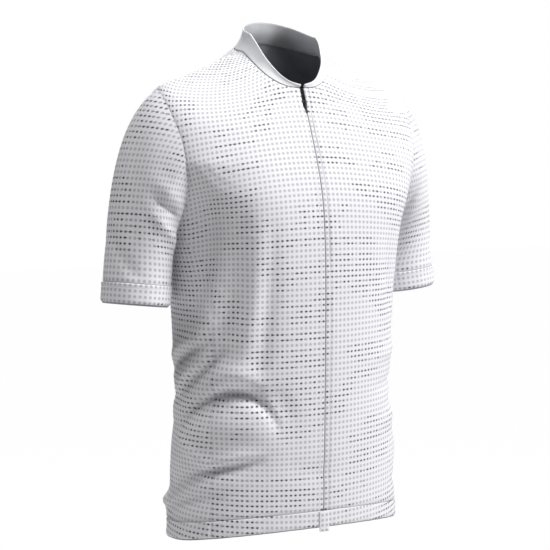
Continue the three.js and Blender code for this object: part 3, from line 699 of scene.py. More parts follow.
TAPE = woven_tape()
ENAMEL = black_enamel()
for node in ("zip_slider", "zip_pull"):
    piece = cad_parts[node]
    piece.data.materials.clear()
    piece.data.materials.append(ENAMEL)
print("finishes:", [m.name for m in (PRINTED, PLAIN, COLLAR_INSIDE_SHADE, INSIDE_SHADE, THREAD, TAPE, ENAMEL)])

# %% [markdown]
# ## Fronts, back and hem
# The fronts run from the zip to a side seam that swings forward below the arm. The back wraps round to
# meet them. Each edge dips a little into its seam, where the cloth's colour is also darkened as painted
# shade.

# %% Body panels
SEAM_GAP = 0.3
FRONT_WIDTH, BACK_WIDTH = 270, 610
# from the zip, in millimetres: extra columns of the mesh, and the seam of the guard behind the zip
NEAR_ZIP = (2.2, 11.6, 12.5, 13.4)
GUARD_SEAM = 10.5
SIDES = ((-1, "right"), (1, "left"))
ARMHOLE_SHARES = (1 - np.cos(np.linspace(0, math.pi, 46))) / 2
ARMHOLE_ROWS = AT["underarm"] + ARMHOLE_SHARES * (AT["shoulder"] - AT["underarm"])
BODY_ROWS = np.concatenate([
    steps_between(AT["hem_seam"] + SEAM_GAP / 2, AT["underarm"], CLOTH_STEP),
    ARMHOLE_ROWS[1:],
    np.linspace(AT["shoulder"], AT["neck"] - SEAM_GAP / 2 - 8, 28)[1:],
    AT["neck"] - SEAM_GAP / 2 - np.array([5, 3, 1.6, 0.7, 0]),
])
NECK_DIP = bell(AT["neck"] - BODY_ROWS, 2)[:, None]
HEM_DIP = bell(BODY_ROWS - AT["hem_seam"], 2)[:, None]


def panel_grid(edges, width, dips, extra_columns=(), from_back=False):
    start, end = edges(BODY_ROWS)
    columns = np.sort(np.concatenate([steps_between(0, width, CLOTH_STEP), extra_columns]))
    shares = columns / width
    angle = start[:, None] + (end - start)[:, None] * shares[None, :]
    distance = BODY_ROWS[:, None] + 0 * angle
    form = body_form(angle, distance)
    outward = body_outward(angle, distance)
    real = np.linalg.norm(np.diff(form, axis=1), axis=-1).sum(axis=1)[:, None]
    from_start, to_end = shares[None, :] * real, (1 - shares[None, :]) * real
    lift = fold_lift(angle, form[..., 2]) + dips[0] * seam_dip(from_start) + dips[1] * seam_dip(to_end)
    # painted shade: the seam value, high at the panel's edges, the neck seam and the hem seam, darkens the
    # cloth's colour
    seam = bell(from_start, 1.5) * dips[0] + bell(to_end, 1.5) * dips[1]
    seam = np.maximum(np.clip(seam, 0, 1), np.maximum(NECK_DIP, HEM_DIP))
    lift = lift - (0.9 * NECK_DIP + 0.5 * HEM_DIP)
    return form, outward, lift, body_cut(signed(angle), distance, from_back), seam, from_start


def front_edges(side):
    def edges(distance):
        centre = angle_for(zip_half_gap(distance), np.zeros_like(distance), distance)
        return side * centre, side * front_edge(distance)
    return edges


def back_edges(distance):
    return back_edge(distance), 2 * math.pi - back_edge(distance)


def make_front(side, word):
    form, outward, lift, cut, seam, from_zip = panel_grid(
        front_edges(side), FRONT_WIDTH, (0.3, 0.5), extra_columns=NEAR_ZIP)
    rolled_edge = bell(from_zip, 1.3)
    guard_seam = bell(from_zip - GUARD_SEAM, 1.3) * (side > 0)
    lift = lift - (0.7 * rolled_edge + 0.8 * guard_seam)
    points = form + outward * lift[..., None]
    # painted shade along the rolled zip edge and the guard seam
    seam = seam + 2.4 * rolled_edge + 3 * guard_seam
    return cloth_object(f"cloth_{word}", f"front_{word}", points, outward, cut, seam)


def make_back():
    form, outward, lift, cut, seam, _ = panel_grid(back_edges, BACK_WIDTH, (0.5, 0.5), from_back=True)
    return cloth_object("cloth_back", "back", form + outward * lift[..., None], outward, cut, seam)


FRONTS = {word: make_front(side, word) for side, word in SIDES}
BACK = make_back()
print("body cloth:", [cloth.name for cloth in (*FRONTS.values(), BACK)])

# %% [markdown]
# The lower edge is a band of doubled cloth, sewn on. It is made as a closed strip: a section a couple of
# millimetres thick with round edges, carried along the hem of each panel. Its free edge curls inwards a
# little, and from there on the strip is painted dark grey, as the shade under and inside the band.

# %% Hem bands
BAND_THICKNESS = 1.7
BAND_SPANS = 18


def band_profile(width, crown, roll_height, curl):
    rise = np.linspace(0, math.pi, BAND_SPANS + 1)
    along = (1 - np.cos(rise)) / 2 * width
    roll = roll_height * bell(width - 2.2 - along, 1.8)
    swell = crown * np.sin(rise) ** 0.6 + roll * np.sin(rise) ** 0.3
    outer = np.stack([along, BAND_THICKNESS / 2 + swell], axis=-1)
    inner = np.stack([(1 - np.cos(rise[::-1])) / 2 * width, -BAND_THICKNESS / 2 + 0 * rise], axis=-1)
    profile = np.concatenate([outer, [[width + 0.2, 0]], inner, [[-0.5, 0]]])
    profile[:, 1] -= curl * bell(profile[:, 0], 2.4)
    return profile


def closed_strip(name, node, points, cut, around=False, material=None,
                 painted_shade=None, shaded_from=0, shaded_below=0):
    columns, ring = points.shape[:2]
    index = np.arange(columns * ring).reshape(columns, ring)
    following = np.roll(index, -1, axis=1)
    if around:
        first, second = index, np.roll(index, -1, axis=0)
        first_next, second_next = following, np.roll(following, -1, axis=0)
    else:
        first, second = index[:-1], index[1:]
        first_next, second_next = following[:-1], following[1:]
    quads = np.stack([a.ravel() for a in (first, second, second_next, first_next)], axis=-1).tolist()
    if not around:
        quads += [index[0].tolist(), index[-1][::-1].tolist()]
    mesh = bpy.data.meshes.new(name)
    mesh.from_pydata((points.reshape(-1, 3) * MM).tolist(), [], quads)
    layer = mesh.uv_layers.new(name="cut")
    corners = np.zeros(len(mesh.loops), np.int32)
    mesh.loops.foreach_get("vertex_index", corners)
    layer.data.foreach_set("uv", (cut.reshape(-1, 2)[corners] * MM).ravel())
    tidy = bmesh.new()
    tidy.from_mesh(mesh)
    bmesh.ops.recalc_face_normals(tidy, faces=tidy.faces)
    tidy.to_mesh(mesh)
    tidy.free()
    mesh.shade_smooth()
    mesh.materials.append(material or PRINTED)
    # painted shade: faces down the inside of the section, and the first few at the free edge, get the second,
    # darker material
    if painted_shade:
        mesh.materials.append(painted_shade)
        for k, face in enumerate(mesh.polygons[: len(first) * ring]):
            face.material_index = int(k % ring >= shaded_from or k % ring < shaded_below)
    strip = bpy.data.objects.new(name, mesh)
    bpy.context.scene.collection.objects.link(strip)
    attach(strip, "jersey")
    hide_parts(node)
    return strip


# a band's section starts at its free edge and runs up the outside, then back down the inside
# painted shade: a band's inside and the curl at its free edge get the dark grey inside material
BAND_PAINTED_SHADE = {"painted_shade": INSIDE_SHADE, "shaded_from": BAND_SPANS + 1, "shaded_below": 3}


def hem_band(name, node, start_of, end_of, from_back):
    profile = band_profile(AT["hem_seam"] - 0.4, crown=0.3, roll_height=0.2, curl=2.4)
    shares = np.linspace(0, 1, 130 if from_back else 66)[:, None]
    distance = np.broadcast_to(profile[None, :, 0], (len(shares), len(profile)))
    angle = start_of(distance) + (end_of(distance) - start_of(distance)) * shares
    form, outward = body_form(angle, distance), body_outward(angle, distance)
    lift = profile[None, :, 1] - 0.35 + fold_lift(signed(angle), form[..., 2])
    ripple = 0.35 * np.sin(angle * 31 + 2 * np.sin(angle * 7)) * np.clip(1 - distance / 26, 0, 1)
    points = form + outward * (lift + ripple)[..., None]
    return closed_strip(name, node, points, body_cut(signed(angle), distance, from_back), **BAND_PAINTED_SHADE)


for side, word in SIDES:
    hem_band(
        f"hem_{word}", f"hem_front_{word}",
        lambda d, side=side: side * angle_for(ZIP_CLOSED, np.zeros_like(d), d),
        lambda d, side=side: side * side_seam_angle(d), False)
hem_band(
    "hem_across_back", "hem_back",
    side_seam_angle,
    lambda d: 2 * math.pi - side_seam_angle(d), True)

# %% [markdown]
# ## Sleeves
# A set-in sleeve is a tube sewn to the armhole. Each lengthwise line leaves the armhole the way the
# sleeve cap does, out at the top and down under the arm, and ends square to the arm at the cuff. The
# tube is split at the underarm, where its own seam runs, so it lies flat for the print.

# %% Sleeve lines
CUFF_DEPTH = 30
CUFF_RADIUS = 48.5
CUFF_FLARE = 0.02
CUFF_CENTRES = {-1: (-236, 19, -367.5), 1: (233.5, 17.5, -366)}
ARM_TILT = math.radians(7)
ARM_SWING = 0.06
# where on the armhole (cosine and sine), then the way the sleeve leaves it: out, forward and down
LEAVING = [(1, 0, 0.88, 0, 0.48), (0, 1, 0.7, 0, 0.72), (-1, 0, 0.5, 0, 0.87), (0, -1, 0.55, -0.3, 0.78)]


def arm_axis(side):
    return unit(np.array([side * math.sin(ARM_TILT), -ARM_SWING, -math.cos(ARM_TILT)]))


def cuff_point(turn, up_arm, side, lift=0.0):
    axis = arm_axis(side)
    outward = np.array([side * math.cos(ARM_TILT), 0, math.sin(ARM_TILT)])
    forward = np.cross(axis, outward) * side
    radius = (CUFF_RADIUS + lift + up_arm * CUFF_FLARE)[..., None]
    radial = outward * np.cos(turn)[..., None] + forward * np.sin(turn)[..., None]
    return np.array(CUFF_CENTRES[side]) - axis * np.asarray(up_arm)[..., None] + radial * radius


def leaving_direction(turn, side):
    direction = 0
    for cosine, sine, out, forward, down in LEAVING:
        share = np.maximum(0, cosine * np.cos(turn) + sine * np.sin(turn)) ** 2
        direction = direction + share[:, None] * np.array([side * out, -forward, -down])
    return unit(direction)


def armhole_line(side):
    front = side * armhole_angle(ARMHOLE_ROWS, FRONT_OPENING)
    back = side * (math.pi - armhole_angle(ARMHOLE_ROWS, BACK_OPENING))
    halves = []
    for angle, rows, start in ((back, ARMHOLE_ROWS, math.pi), (front[::-1], ARMHOLE_ROWS[::-1], 2 * math.pi)):
        points, outward = body_form(angle, rows), body_outward(angle, rows)
        points = points + outward * (fold_lift(angle, points[:, 2]) - 0.2)[:, None]
        along = lengths_along(points)
        halves.append((points, outward, start + math.pi * along / along[-1]))
    return [np.concatenate([first[:-1], second]) for first, second in zip(*halves)]


# %% [markdown]
# The sleeves have their own folds: short creases that fan out of the underarm and a slack roll or two
# above the cuff. Here a place is a turn round the arm and a distance from the armhole.

# %% Folds of the sleeves
SLEEVE_FOLDS = {
    -1: {
        "crease into the underarm": ((74, 88), (98, 62), (128, 34), 2.6, 4.5, -4.2),
        "roll below it": ((70, 112), (104, 84), (158, 38), 7, 9, 3.6),
        "roll above it": ((58, 84), (92, 48), (140, 10), 9, 6, 2.4),
        "slack above the cuff": ((-30, 216), (30, 228), (96, 204), 14, 12, -2.6),
        "pull down the front": ((20, 40), (34, 120), (52, 196), 15, 12, -2.2),
        "crease behind the arm": ((200, 70), (240, 128), (292, 142), 10, 12, -4),
        "roll behind the arm": ((205, 118), (250, 162), (300, 176), 12, 12, 2.6),
    },
    1: {
        "crease into the underarm": ((90, 50), (120, 16), (156, 12), 5, 8, -5),
        "roll below it": ((88, 68), (120, 36), (160, 30), 8, 9, 3.2),
        "slack above the cuff": ((-20, 206), (44, 224), (110, 214), 13, 12, -2.4),
        "pull down the front": ((12, 50), (24, 110), (58, 176), 13, 14, -2.4),
        "crease behind the arm": ((196, 90), (236, 120), (286, 168), 10, 11, -3.6),
        "roll behind the arm": ((214, 150), (258, 186), (310, 190), 12, 12, 2.4),
    },
}
SLEEVE_GIRTH = 55
SLEEVE_LENGTH = 240
EASED_IN = (0.92, 0.94)


def sleeve_lift(turn, distance, folds):
    wrapped = np.degrees(turn) % 360
    wrapped = np.where(wrapped > 330, wrapped - 360, wrapped)
    lift = np.zeros(turn.shape)
    for start, over, end, above, below, depth in folds.values():
        line = bowed_line(start, over, end)
        dx = (wrapped[..., None] - line[:, 0]) * math.radians(1) * SLEEVE_GIRTH
        dz = distance[..., None] - line[:, 1]
        gap = np.hypot(dx, dz)
        nearest = gap.argmin(axis=-1)
        side_of = np.take_along_axis(dz, nearest[..., None], -1)[..., 0]
        width = np.where(side_of < 0, above, below)
        lift += depth * bell(gap.min(axis=-1), width) * faded_at_ends(nearest)
    return lift


def make_sleeve(side, word):
    start, outward, turn = armhole_line(side)
    leave = leaving_direction(turn, side)
    middle = start.mean(axis=0)
    inwards = unit((middle - start) - outward * ((middle - start) * outward).sum(axis=-1, keepdims=True))
    leave = unit(leave + inwards * (0.14 + 0.22 * np.cos(turn))[:, None])
    end = cuff_point(turn, np.full(turn.shape, CUFF_DEPTH + 0.15), side)
    pull = 0.9 * np.linalg.norm(end - start, axis=-1)[:, None]
    shares = steps_between(0, SLEEVE_LENGTH, CLOTH_STEP, (0.9, 2, 3.4, 5.4)) / SLEEVE_LENGTH
    u = shares[:, None, None]
    v = 1 - u
    line = (start * (1 + 2 * u) * v * v + leave * pull * u * v * v
            + end * (1 + 2 * v) * u * u - arm_axis(side) * pull * v * u * u)
    down = np.gradient(line, axis=0)
    round_arm = np.gradient(line, axis=1)
    round_arm[:, 0] = round_arm[:, -1] = line[:, 1] - line[:, -2]
    normal = unit(np.cross(round_arm, down)) * side
    centre = line.mean(axis=1, keepdims=True)
    normal = normal * np.sign((normal * (line - centre)).sum(axis=(-1), keepdims=True).mean())
    climb = np.linalg.norm(np.diff(line, axis=0, prepend=line[:1]), axis=-1).cumsum(axis=0)
    arc = np.linalg.norm(np.diff(line, axis=1, prepend=line[:, :1]), axis=-1).cumsum(axis=1)
    top = np.abs(turn - 2 * math.pi).argmin()
    cut = np.stack([arc - arc[:, top:top + 1], climb[-1:] - climb], axis=-1) * EASED_IN
    mix = bell(climb, 4)[..., None]
    normal = unit(outward * mix + normal * (1 - mix))
    to_cuff = climb[-1:] - climb
    settle = ease(np.clip(climb / 16, 0, 1) * np.clip(to_cuff / 18, 0, 1), 0, 1)
    lift = sleeve_lift(np.broadcast_to(turn, climb.shape), climb, SLEEVE_FOLDS[side]) * settle
    lift = lift + seam_dip(to_cuff, 0.6, 2) + 0.6 * (seam_dip(arc) + seam_dip(arc[:, -1:] - arc))
    # painted shade at the armhole, the cuff seam and the underarm seam, through the seam value
    seam = np.clip(0.2 * bell(climb, 1.4) + bell(to_cuff, 1.6) + bell(arc, 1.5), 0, 1)
    points = line + normal * lift[..., None]
    points[:, -1] = points[:, 0]
    return cloth_object(f"sleeve_{word}_cloth", f"sleeve_{word}", points, normal, cut, seam)


SLEEVES = {word: make_sleeve(side, word) for side, word in SIDES}
print("sleeves:", list(SLEEVES))


# %% Cuffs
def make_cuff(side, word):
    profile = band_profile(CUFF_DEPTH - 0.2, crown=0.5, roll_height=0.8, curl=2.8)
    turn = np.linspace(0, 2 * math.pi, 121)[:-1]
    up_arm = np.broadcast_to(profile[None, :, 0], (len(turn), len(profile)))
    ripple = 0.25 * np.sin(turn * 9 + 1.5 * np.sin(turn * 4))[:, None] * np.clip(1 - up_arm / 30, 0, 1)
    turns = np.broadcast_to(turn[:, None], up_arm.shape)
    points = cuff_point(turns, up_arm, side, profile[None, :, 1] + ripple)
    cut = np.stack([turns * CUFF_RADIUS, up_arm], axis=-1)
    return closed_strip(f"cuff_{word}_band", f"cuff_{word}", points, cut, around=True, **BAND_PAINTED_SHADE)


CUFFS = {word: make_cuff(side, word) for side, word in SIDES}
print("cuffs:", list(CUFFS))

# %% [markdown]
# ## Collar
# The collar is one strip of plain cloth, doubled over so that its upper edge is a soft fold. It stands
# on the neck seam, highest at the nape and nearly nothing at the zip. Its section is a loop: up the
# outside, round the fold and down the inside, whose faces are painted grey as shade.

# %% Collar
def collar_surface(angle, share):
    low = ring_point(section_at(AT["neck"]), angle)
    high = ring_point(COLLAR_RIM, angle)
    high[..., 2] = np.maximum(high[..., 2], low[..., 2] + 2.5)
    low[..., 2] += 0.3
    bow = 3 * np.sin(math.pi * share) * np.minimum(1, (high[..., 2] - low[..., 2]) / 25)
    towards = np.stack([-np.sin(angle), np.cos(angle), 0 * angle], axis=-1)
    return low + (high - low) * share[..., None] + towards * bow[..., None]


def make_collar():
    start = float(angle_for(ZIP_OPEN, np.array(0.0), np.array(AT["neck"]))) + math.radians(0.5)
    angles = np.linspace(start, 2 * math.pi - start, 220)[:, None]
    rise = np.linspace(0, 1, 16)
    bow = np.sin(math.pi * rise)
    shares = np.concatenate([rise, [1, 1, 1], rise[::-1]])
    depths = np.concatenate([0.25 * bow, [-0.5, -1, -1.5], -2 - 0.1 * bow])
    tops = np.concatenate([0 * rise, [0.45, 0.6, 0.45], 0 * rise])
    sag = 0.5 * np.sin(angles * 5 + 1) * np.sin(math.pi * shares) + 0.3 * np.sin(angles * 13 + 2)
    grid_angle, grid_share = np.broadcast_arrays(angles, shares[None, :])
    point = collar_surface(grid_angle, grid_share)
    inside_share = np.clip(grid_share, 0.05, 0.95)
    along = collar_surface(grid_angle + 0.02, inside_share) - collar_surface(grid_angle - 0.02, inside_share)
    up = collar_surface(grid_angle, inside_share + 0.05) - collar_surface(grid_angle, inside_share - 0.05)
    normal = unit(np.cross(along, up))
    points = point + normal * (depths[None, :] + sag * grid_share)[..., None]
    points[..., 2] += tops[None, :] + 0.5 * np.sin(grid_angle * 3 + 0.6) * grid_share
    reach = ring_lengths[-1, -1] * grid_angle / math.pi
    cut = np.stack([reach, grid_share * 40 - depths[None, :] * 2], axis=-1)
    # painted shade: the faces down the inside of the loop get the grey collar inside material
    return closed_strip("collar_strip", "collar", points, cut, material=PLAIN, painted_shade=COLLAR_INSIDE_SHADE,
                        shaded_from=len(rise) + 2)


COLLAR = make_collar()
print("collar made")

# %% [markdown]
# ## Back pockets
# One panel is sewn on the lower back and parted into three pockets by two rows of stitches. Its upper
# edge is a folded hem that stands a little off the back, so the pockets look ready to open.

# %% Pocket panel
POCKET_WIDTH, POCKET_HEIGHT = 330, 175
MOUTH_HEM = 18.5
DIVIDERS = (1 / 3, 2 / 3)


def pocket_edges(distance):
    seam = back_edge(distance)
    inset = (2 * math.pi - 2 * seam) * 5 / 22
    return seam + inset, 2 * math.pi - seam - inset


def make_pocket():
    low, high = AT["hem_seam"] + 1, AT["hem_seam"] + POCKET_HEIGHT - 6
    near_hem = high - MOUTH_HEM + np.array([1, 0, -1])
    rows = np.sort(np.concatenate([steps_between(low, high, CLOTH_STEP), near_hem]))
    start, end = pocket_edges(rows)
    near_dividers = [share + offset for share in DIVIDERS for offset in (-0.006, 0, 0.006)]
    even = steps_between(0, POCKET_WIDTH, 4.6) / POCKET_WIDTH
    shares = np.sort(np.concatenate([even, near_dividers]))
    angle = start[:, None] + (end - start)[:, None] * shares
    distance = rows[:, None] + 0 * angle
    form, outward = body_form(angle, distance), body_outward(angle, distance)
    real = np.linalg.norm(np.diff(form, axis=1), axis=-1).sum(axis=1)[:, None]
    from_side, to_side = shares[None, :] * real, (1 - shares[None, :]) * real
    to_divider = np.minimum(np.abs(shares - DIVIDERS[0]), np.abs(shares - DIVIDERS[1]))[None, :] * real
    hem_line = high - MOUTH_HEM
    rise = (distance - low) / (high - low)
    third = np.abs(np.sin(shares * 3 * math.pi))[None, :]
    puff = 3.6 * third ** 0.5 * np.sin(math.pi * np.clip(rise * 0.85 + 0.1, 0, 1)) ** 0.7
    mouth = 2.4 * third * ease(rise, 0.8, 1)
    hem_groove = -0.5 * bell(hem_line - distance, 1.2) + 0.5 * ease(distance, hem_line, hem_line + 1.5)
    sewn_down = 1.1 * bell(from_side, 2.2) + 1.1 * bell(to_side, 2.2) + bell(distance - low, 2)
    lift = 1.4 + puff + mouth + hem_groove + fold_lift(signed(angle), form[..., 2]) - sewn_down
    points = form + outward * lift[..., None]
    cut = body_cut(signed(angle), distance, True) + np.array([3.1, 2.2])
    # painted shade along the pocket's sides, its dividers and the hem line of its mouth
    seam = bell(from_side, 1.5) + bell(to_side, 1.5)
    seam = seam + 1.8 * bell(to_divider, 1.3) + 0.8 * bell(hem_line - distance, 1.1)
    return cloth_object("pocket_cloth", "pocket_panel", points, outward, cut, seam)


POCKETS = make_pocket()
print("pockets:", POCKETS.name)

# %% [markdown]
# ## Zip
# Two woven tapes carry the teeth. They are sewn behind the front edges, so a closed zip shows only as a
# thin dark line between two rolled edges, whose colour is also darkened as painted shade. Above the
# slider the edges part and the teeth come into view.

# %% Zip tapes
TAPE_THICKNESS = 0.7


def make_tape(side, word):
    behind_hem = [1, 12, AT["hem_seam"] - 2, AT["hem_seam"] + 4]
    below = np.linspace(AT["hem_seam"] + 10, distance_at_front(-120), 110)
    above = np.linspace(distance_at_front(-118), AT["neck"] - 0.5, 60)
    rows = np.concatenate([behind_hem, below, above])
    inner = np.maximum(0.25, zip_half_gap(rows) - 2.3)
    across_tape = np.array([0, 1.2, 2.0, 3.2, 6, 9, 12])
    angle = side * angle_for(inner[:, None] + across_tape, np.zeros((1, 1)), rows[:, None])
    distance = rows[:, None] + 0 * angle
    outward = body_outward(angle, distance)
    lift = np.where(distance < AT["hem_seam"] + 6, -2.2, -1.8) + 0.35 * bell(across_tape - 1.2, 1)
    form = body_form(angle, distance)
    points = form + outward * (lift + fold_lift(angle, form[..., 2]))[..., None]
    cut = np.stack([across_tape + 0 * distance, distance], axis=-1)
    return cloth_object(f"tape_{word}", f"zip_tape_{word}", points, outward, cut,
                        materials=(TAPE, TAPE), thickness=TAPE_THICKNESS)


TAPES = {word: make_tape(side, word) for side, word in SIDES}
print("tapes:", list(TAPES))


# %% Zip teeth
def joined(name, shapes, material):
    points, faces, start = [], [], 0
    for corners, sides in shapes:
        points.append(corners)
        faces += [[start + i for i in face] for face in sides]
        start += len(corners)
    mesh = bpy.data.meshes.new(name)
    mesh.from_pydata((np.concatenate(points) * MM).tolist(), [], faces)
    mesh.shade_smooth()
    mesh.uv_layers.new(name="cut")
    mesh.materials.append(material)
    made = bpy.data.objects.new(name, mesh)
    bpy.context.scene.collection.objects.link(made)
    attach(made, "jersey")
    return made


# along a grain: how far from its middle, and how thick it is there
GRAIN = ((-1, 0.35), (-0.6, 0.9), (0, 1), (0.6, 0.9), (1, 0.35))


def grain(middle, along, sideways, outward, length, width, height):
    turns = np.arange(6) * math.pi / 3
    rings = [middle + along * length / 2 * place
             + np.cos(turns)[:, None] * sideways * width / 2 * size
             + np.sin(turns)[:, None] * outward * height / 2 * size for place, size in GRAIN]
    faces = [[6 * i + j, 6 * i + (j + 1) % 6, 6 * i + 6 + (j + 1) % 6, 6 * i + 6 + j]
             for i in range(len(GRAIN) - 1) for j in range(6)]
    last = 6 * len(GRAIN) - 6
    faces += [list(range(5, -1, -1)), list(range(last, last + 6))]
    return np.concatenate(rings), faces


TOOTH_PITCH = 1.6
TOOTH_ROWS = np.arange(AT["hem_seam"] - 14, AT["neck"] - 2, TOOTH_PITCH)


def make_teeth(side, word):
    rows = TOOTH_ROWS + (TOOTH_PITCH / 2 if side > 0 else 0)
    inner = np.maximum(0.0, zip_half_gap(rows) - 2.6)
    angle = side * angle_for(inner + 0.9, np.zeros_like(rows), rows)
    outward = body_outward(angle, rows)
    sideways = unit(body_form(angle + 0.01, rows) - body_form(angle - 0.01, rows))
    up = unit(np.cross(outward, sideways))
    form = body_form(angle, rows)
    middles = form + outward * (fold_lift(angle, form[..., 2]) - 1.35)[:, None]
    shapes = [grain(m, s, u, o, 2.4, 0.9, 1.1) for m, s, u, o in zip(middles, sideways, up, outward)]
    return joined(f"teeth_{word}", shapes, ENAMEL)


TEETH = {word: make_teeth(side, word) for side, word in SIDES}
print("teeth on each side:", len(TOOTH_ROWS))

# %% [markdown]
# A little folded tab of the jersey's cloth covers the foot of the zip and keeps the slider's end stop off
# the skin.

# %% Hem tab
TAB_HALF_WIDTH = 8.3
TAB_LIFT = 1.7


def make_tab():
    turn = np.linspace(0, 2 * math.pi, 27)[:-1]
    rows = np.linspace(-5.6, AT["hem_seam"] - 0.5, 20)
    x = TAB_HALF_WIDTH * np.sign(np.cos(turn)) * np.abs(np.cos(turn)) ** 0.45
    wall = 0.75 * np.sign(np.sin(turn)) * np.abs(np.sin(turn)) ** 0.7
    ends = np.minimum((rows[:, None] + 6.6) / 2.2, 1) ** 0.5
    distance = np.broadcast_to(rows[:, None], (len(rows), len(turn)))
    angle = angle_for(x * (0.94 + 0.06 * ends), np.zeros((1, 1)), distance)
    crown = 0.5 * np.cos(math.pi * np.abs(x) / 17) * np.sin(math.pi * np.clip((distance + 6) / 34, 0, 1))
    lift = TAB_LIFT + wall * ends + crown * (np.sin(turn) > 0)
    points = body_form(angle, distance) + body_outward(angle, distance) * lift[..., None]
    return closed_strip("tab_cloth", "hem_tab", points, np.stack([x + 0 * distance, distance], axis=-1))


TAB = make_tab()
print("tab made")

# %% [markdown]
# ## Stitches
# A seam reads as sewn once its stitches show. Each one is a small grain of thread laid on the cloth and
# half sunk in it. They follow the hem, the cuffs, the zip, the armholes and the pockets.

# %% Stitch rows
STITCH_PITCH = 3.1
ZIP_STITCHES_AT = 6.8
ARMHOLE_STITCHES_AT = 3.4


def along_line(points, outward, phase=0):
    reach = lengths_along(points)
    places = np.arange(STITCH_PITCH * (0.5 + phase), reach[-1] - STITCH_PITCH * 0.4, STITCH_PITCH)

    def sample(values, at):
        return np.stack([np.interp(at, reach, values[:, k]) for k in range(3)], axis=-1)

    middles, normals = sample(points, places), unit(sample(outward, places))
    tangent = unit(sample(points, places + 0.6) - sample(points, places - 0.6))
    sideways = unit(np.cross(normals, tangent))
    return [grain(m, t, s, n, 2.3, 0.55, 0.5) for m, t, s, n in zip(middles, tangent, sideways, normals)]


def body_line(angle, distance, lift):
    form, outward = body_form(angle, distance), body_outward(angle, distance)
    lift = lift + fold_lift(signed(angle), form[..., 2])
    return form + outward * lift[:, None], outward


def hem_stitches():
    shapes = []
    angle = np.linspace(math.radians(5), math.radians(355), 700)
    for above, lift, phase in ((2.6, 0.05, 0), (5.6, 0.12, 0.5)):
        row = np.full_like(angle, AT["hem_seam"] + above)
        shapes += along_line(*body_line(angle, row, lift), phase)
    return joined("hem_stitches", shapes, THREAD)


def zip_stitches():
    shapes = []
    rows = np.linspace(AT["hem_seam"] + 3, AT["neck"] - 3, 300)
    for side in (-1, 1):
        angle = side * angle_for(zip_half_gap(rows) + ZIP_STITCHES_AT, np.zeros_like(rows), rows)
        shapes += along_line(*body_line(angle, rows, 0.06))
    return joined("zip_stitches", shapes, THREAD)


def armhole_stitches():
    shapes = []
    front = armhole_angle(ARMHOLE_ROWS, FRONT_OPENING)
    back = math.pi - armhole_angle(ARMHOLE_ROWS, BACK_OPENING)
    for side in (-1, 1):
        for edge, away_from in ((front, -1), (back, 1)):
            angle = side * (edge + away_from * angle_for(ARMHOLE_STITCHES_AT, edge, ARMHOLE_ROWS))
            shapes += along_line(*body_line(angle, ARMHOLE_ROWS, 0.02))
    return joined("armhole_stitches", shapes, THREAD)


def cuff_stitches():
    shapes = []
    turn = np.linspace(0, 2 * math.pi, 160)
    for side in (-1, 1):
        for below, lift, phase in ((5.6, 1.2, 0.5), (8.6, 1.15, 0)):
            points = cuff_point(turn, np.full_like(turn, CUFF_DEPTH - below), side, lift)
            outward = unit(points - points[:-1].mean(axis=0))
            shapes += along_line(points, outward, phase)
    return joined("cuff_stitches", shapes, THREAD)


def pocket_stitches():
    low, high = AT["hem_seam"] + 2, AT["hem_seam"] + POCKET_HEIGHT - 7
    rows = np.linspace(low, high, 90)
    start, end = pocket_edges(rows)
    shapes = []
    for share in DIVIDERS:
        shapes += along_line(*body_line(start + (end - start) * share, rows, 1.45))
    for edge, inwards in ((start, 1), (end, -1)):
        shapes += along_line(*body_line(edge + inwards * angle_for(3, edge, rows), rows, 1.9))
    return joined("pocket_stitches", shapes, THREAD)


STITCHES = [hem_stitches(), zip_stitches(), armhole_stitches(), cuff_stitches(), pocket_stitches()]
for row in STITCHES:
    print(row.name, len(row.data.polygons), "faces")

# %% [markdown]
# ## Light and floor
# The light is that of a pale studio: a strong soft light high on the right of the camera, a softer one
# above, a weak one high on the left and one behind for the back. The camera sees white walls, but they
# give hardly any light, so the folds keep their shade. The floor is well below, as if the jersey were
# worn, and the camera sees it nearly as white as the walls.

# %% Floor
FLOOR_HEIGHT = -1450
FLOOR_REACH = 12000


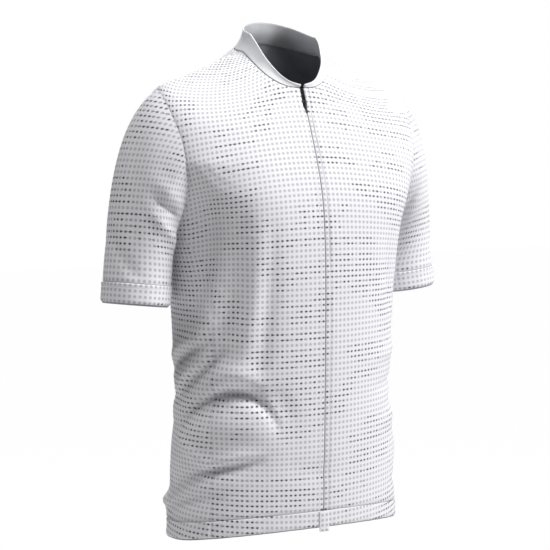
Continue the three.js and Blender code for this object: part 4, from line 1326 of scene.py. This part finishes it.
def make_floor():
    mesh = bpy.data.meshes.new("floor")
    outline = [(-1, -1), (1, -1), (1, 1), (-1, 1)]
    corners = [(x * FLOOR_REACH * MM, y * FLOOR_REACH * MM, FLOOR_HEIGHT * MM) for x, y in outline]
    mesh.from_pydata(corners, [], [[0, 1, 2, 3]])
    floor = bpy.data.objects.new("floor", mesh)
    bpy.context.scene.collection.objects.link(floor)
    material, tree, shader = new_material("pale floor", 0.9, specular=0.1)
    tone = placed(tree, UNEVEN, tree.nodes.new("ShaderNodeTexCoord").outputs["Object"], Scale=3)
    base = mixed_colour(tree, tone.outputs["Tone"], (0.9, 0.9, 0.9, 1), (0.93, 0.93, 0.93, 1))
    tree.links.new(base, shader.inputs["Base Color"])
    glow = tree.nodes.new("ShaderNodeEmission")
    glow.inputs["Strength"].default_value = 1
    paper = tree.nodes.new("ShaderNodeMixShader")
    seen_directly = tree.nodes.new("ShaderNodeLightPath").outputs["Is Camera Ray"]
    tree.links.new(maths(tree, "MULTIPLY", seen_directly, 0.99), paper.inputs[0])
    tree.links.new(shader.outputs[0], paper.inputs[1])
    tree.links.new(glow.outputs[0], paper.inputs[2])
    tree.links.new(paper.outputs[0], tree.nodes["Material Output"].inputs["Surface"])
    mesh.materials.append(material)
    return floor


make_floor()
print("floor at", FLOOR_HEIGHT, "mm")


# %% Lights
def area_light(name, place, aim, size, watts):
    data = bpy.data.lights.new(name, "AREA")
    data.shape = "RECTANGLE"
    data.size = data.size_y = size
    data.energy = watts
    light = bpy.data.objects.new(name, data)
    light.location = place
    light.rotation_euler = (Vector(aim) - Vector(place)).to_track_quat("-Z", "Y").to_euler()
    bpy.context.scene.collection.objects.link(light)
    return light


area_light("key", (2.2, -2.1, 2.1), (0, 0, -0.3), 1.0, 147)
area_light("top", (0.1, -1.3, 2.4), (0, 0, -0.3), 1.2, 58)
area_light("fill", (-2.3, 0.7, 2.0), (-0.2, 0, -0.2), 0.9, 34)
area_light("behind", (1.2, 2.7, 1.3), (0, 0, -0.35), 1.6, 95)


def studio_walls():
    world = bpy.data.worlds.new("studio walls")
    bpy.context.scene.world = world
    world.use_nodes = True
    walls = world.node_tree
    lit, seen = walls.nodes["Background"], walls.nodes.new("ShaderNodeBackground")
    lit.inputs["Color"].default_value = (0.97, 0.965, 1, 1)
    lit.inputs["Strength"].default_value = 0.03
    seen.inputs["Color"].default_value = (1, 1, 1, 1)
    seen.inputs["Strength"].default_value = 1
    chosen = walls.nodes.new("ShaderNodeMixShader")
    walls.links.new(walls.nodes.new("ShaderNodeLightPath").outputs["Is Camera Ray"], chosen.inputs[0])
    walls.links.new(lit.outputs[0], chosen.inputs[1])
    walls.links.new(seen.outputs[0], chosen.inputs[2])
    walls.links.new(chosen.outputs[0], walls.nodes["World Output"].inputs["Surface"])


studio_walls()
bpy.context.scene.view_settings.view_transform = "Standard"
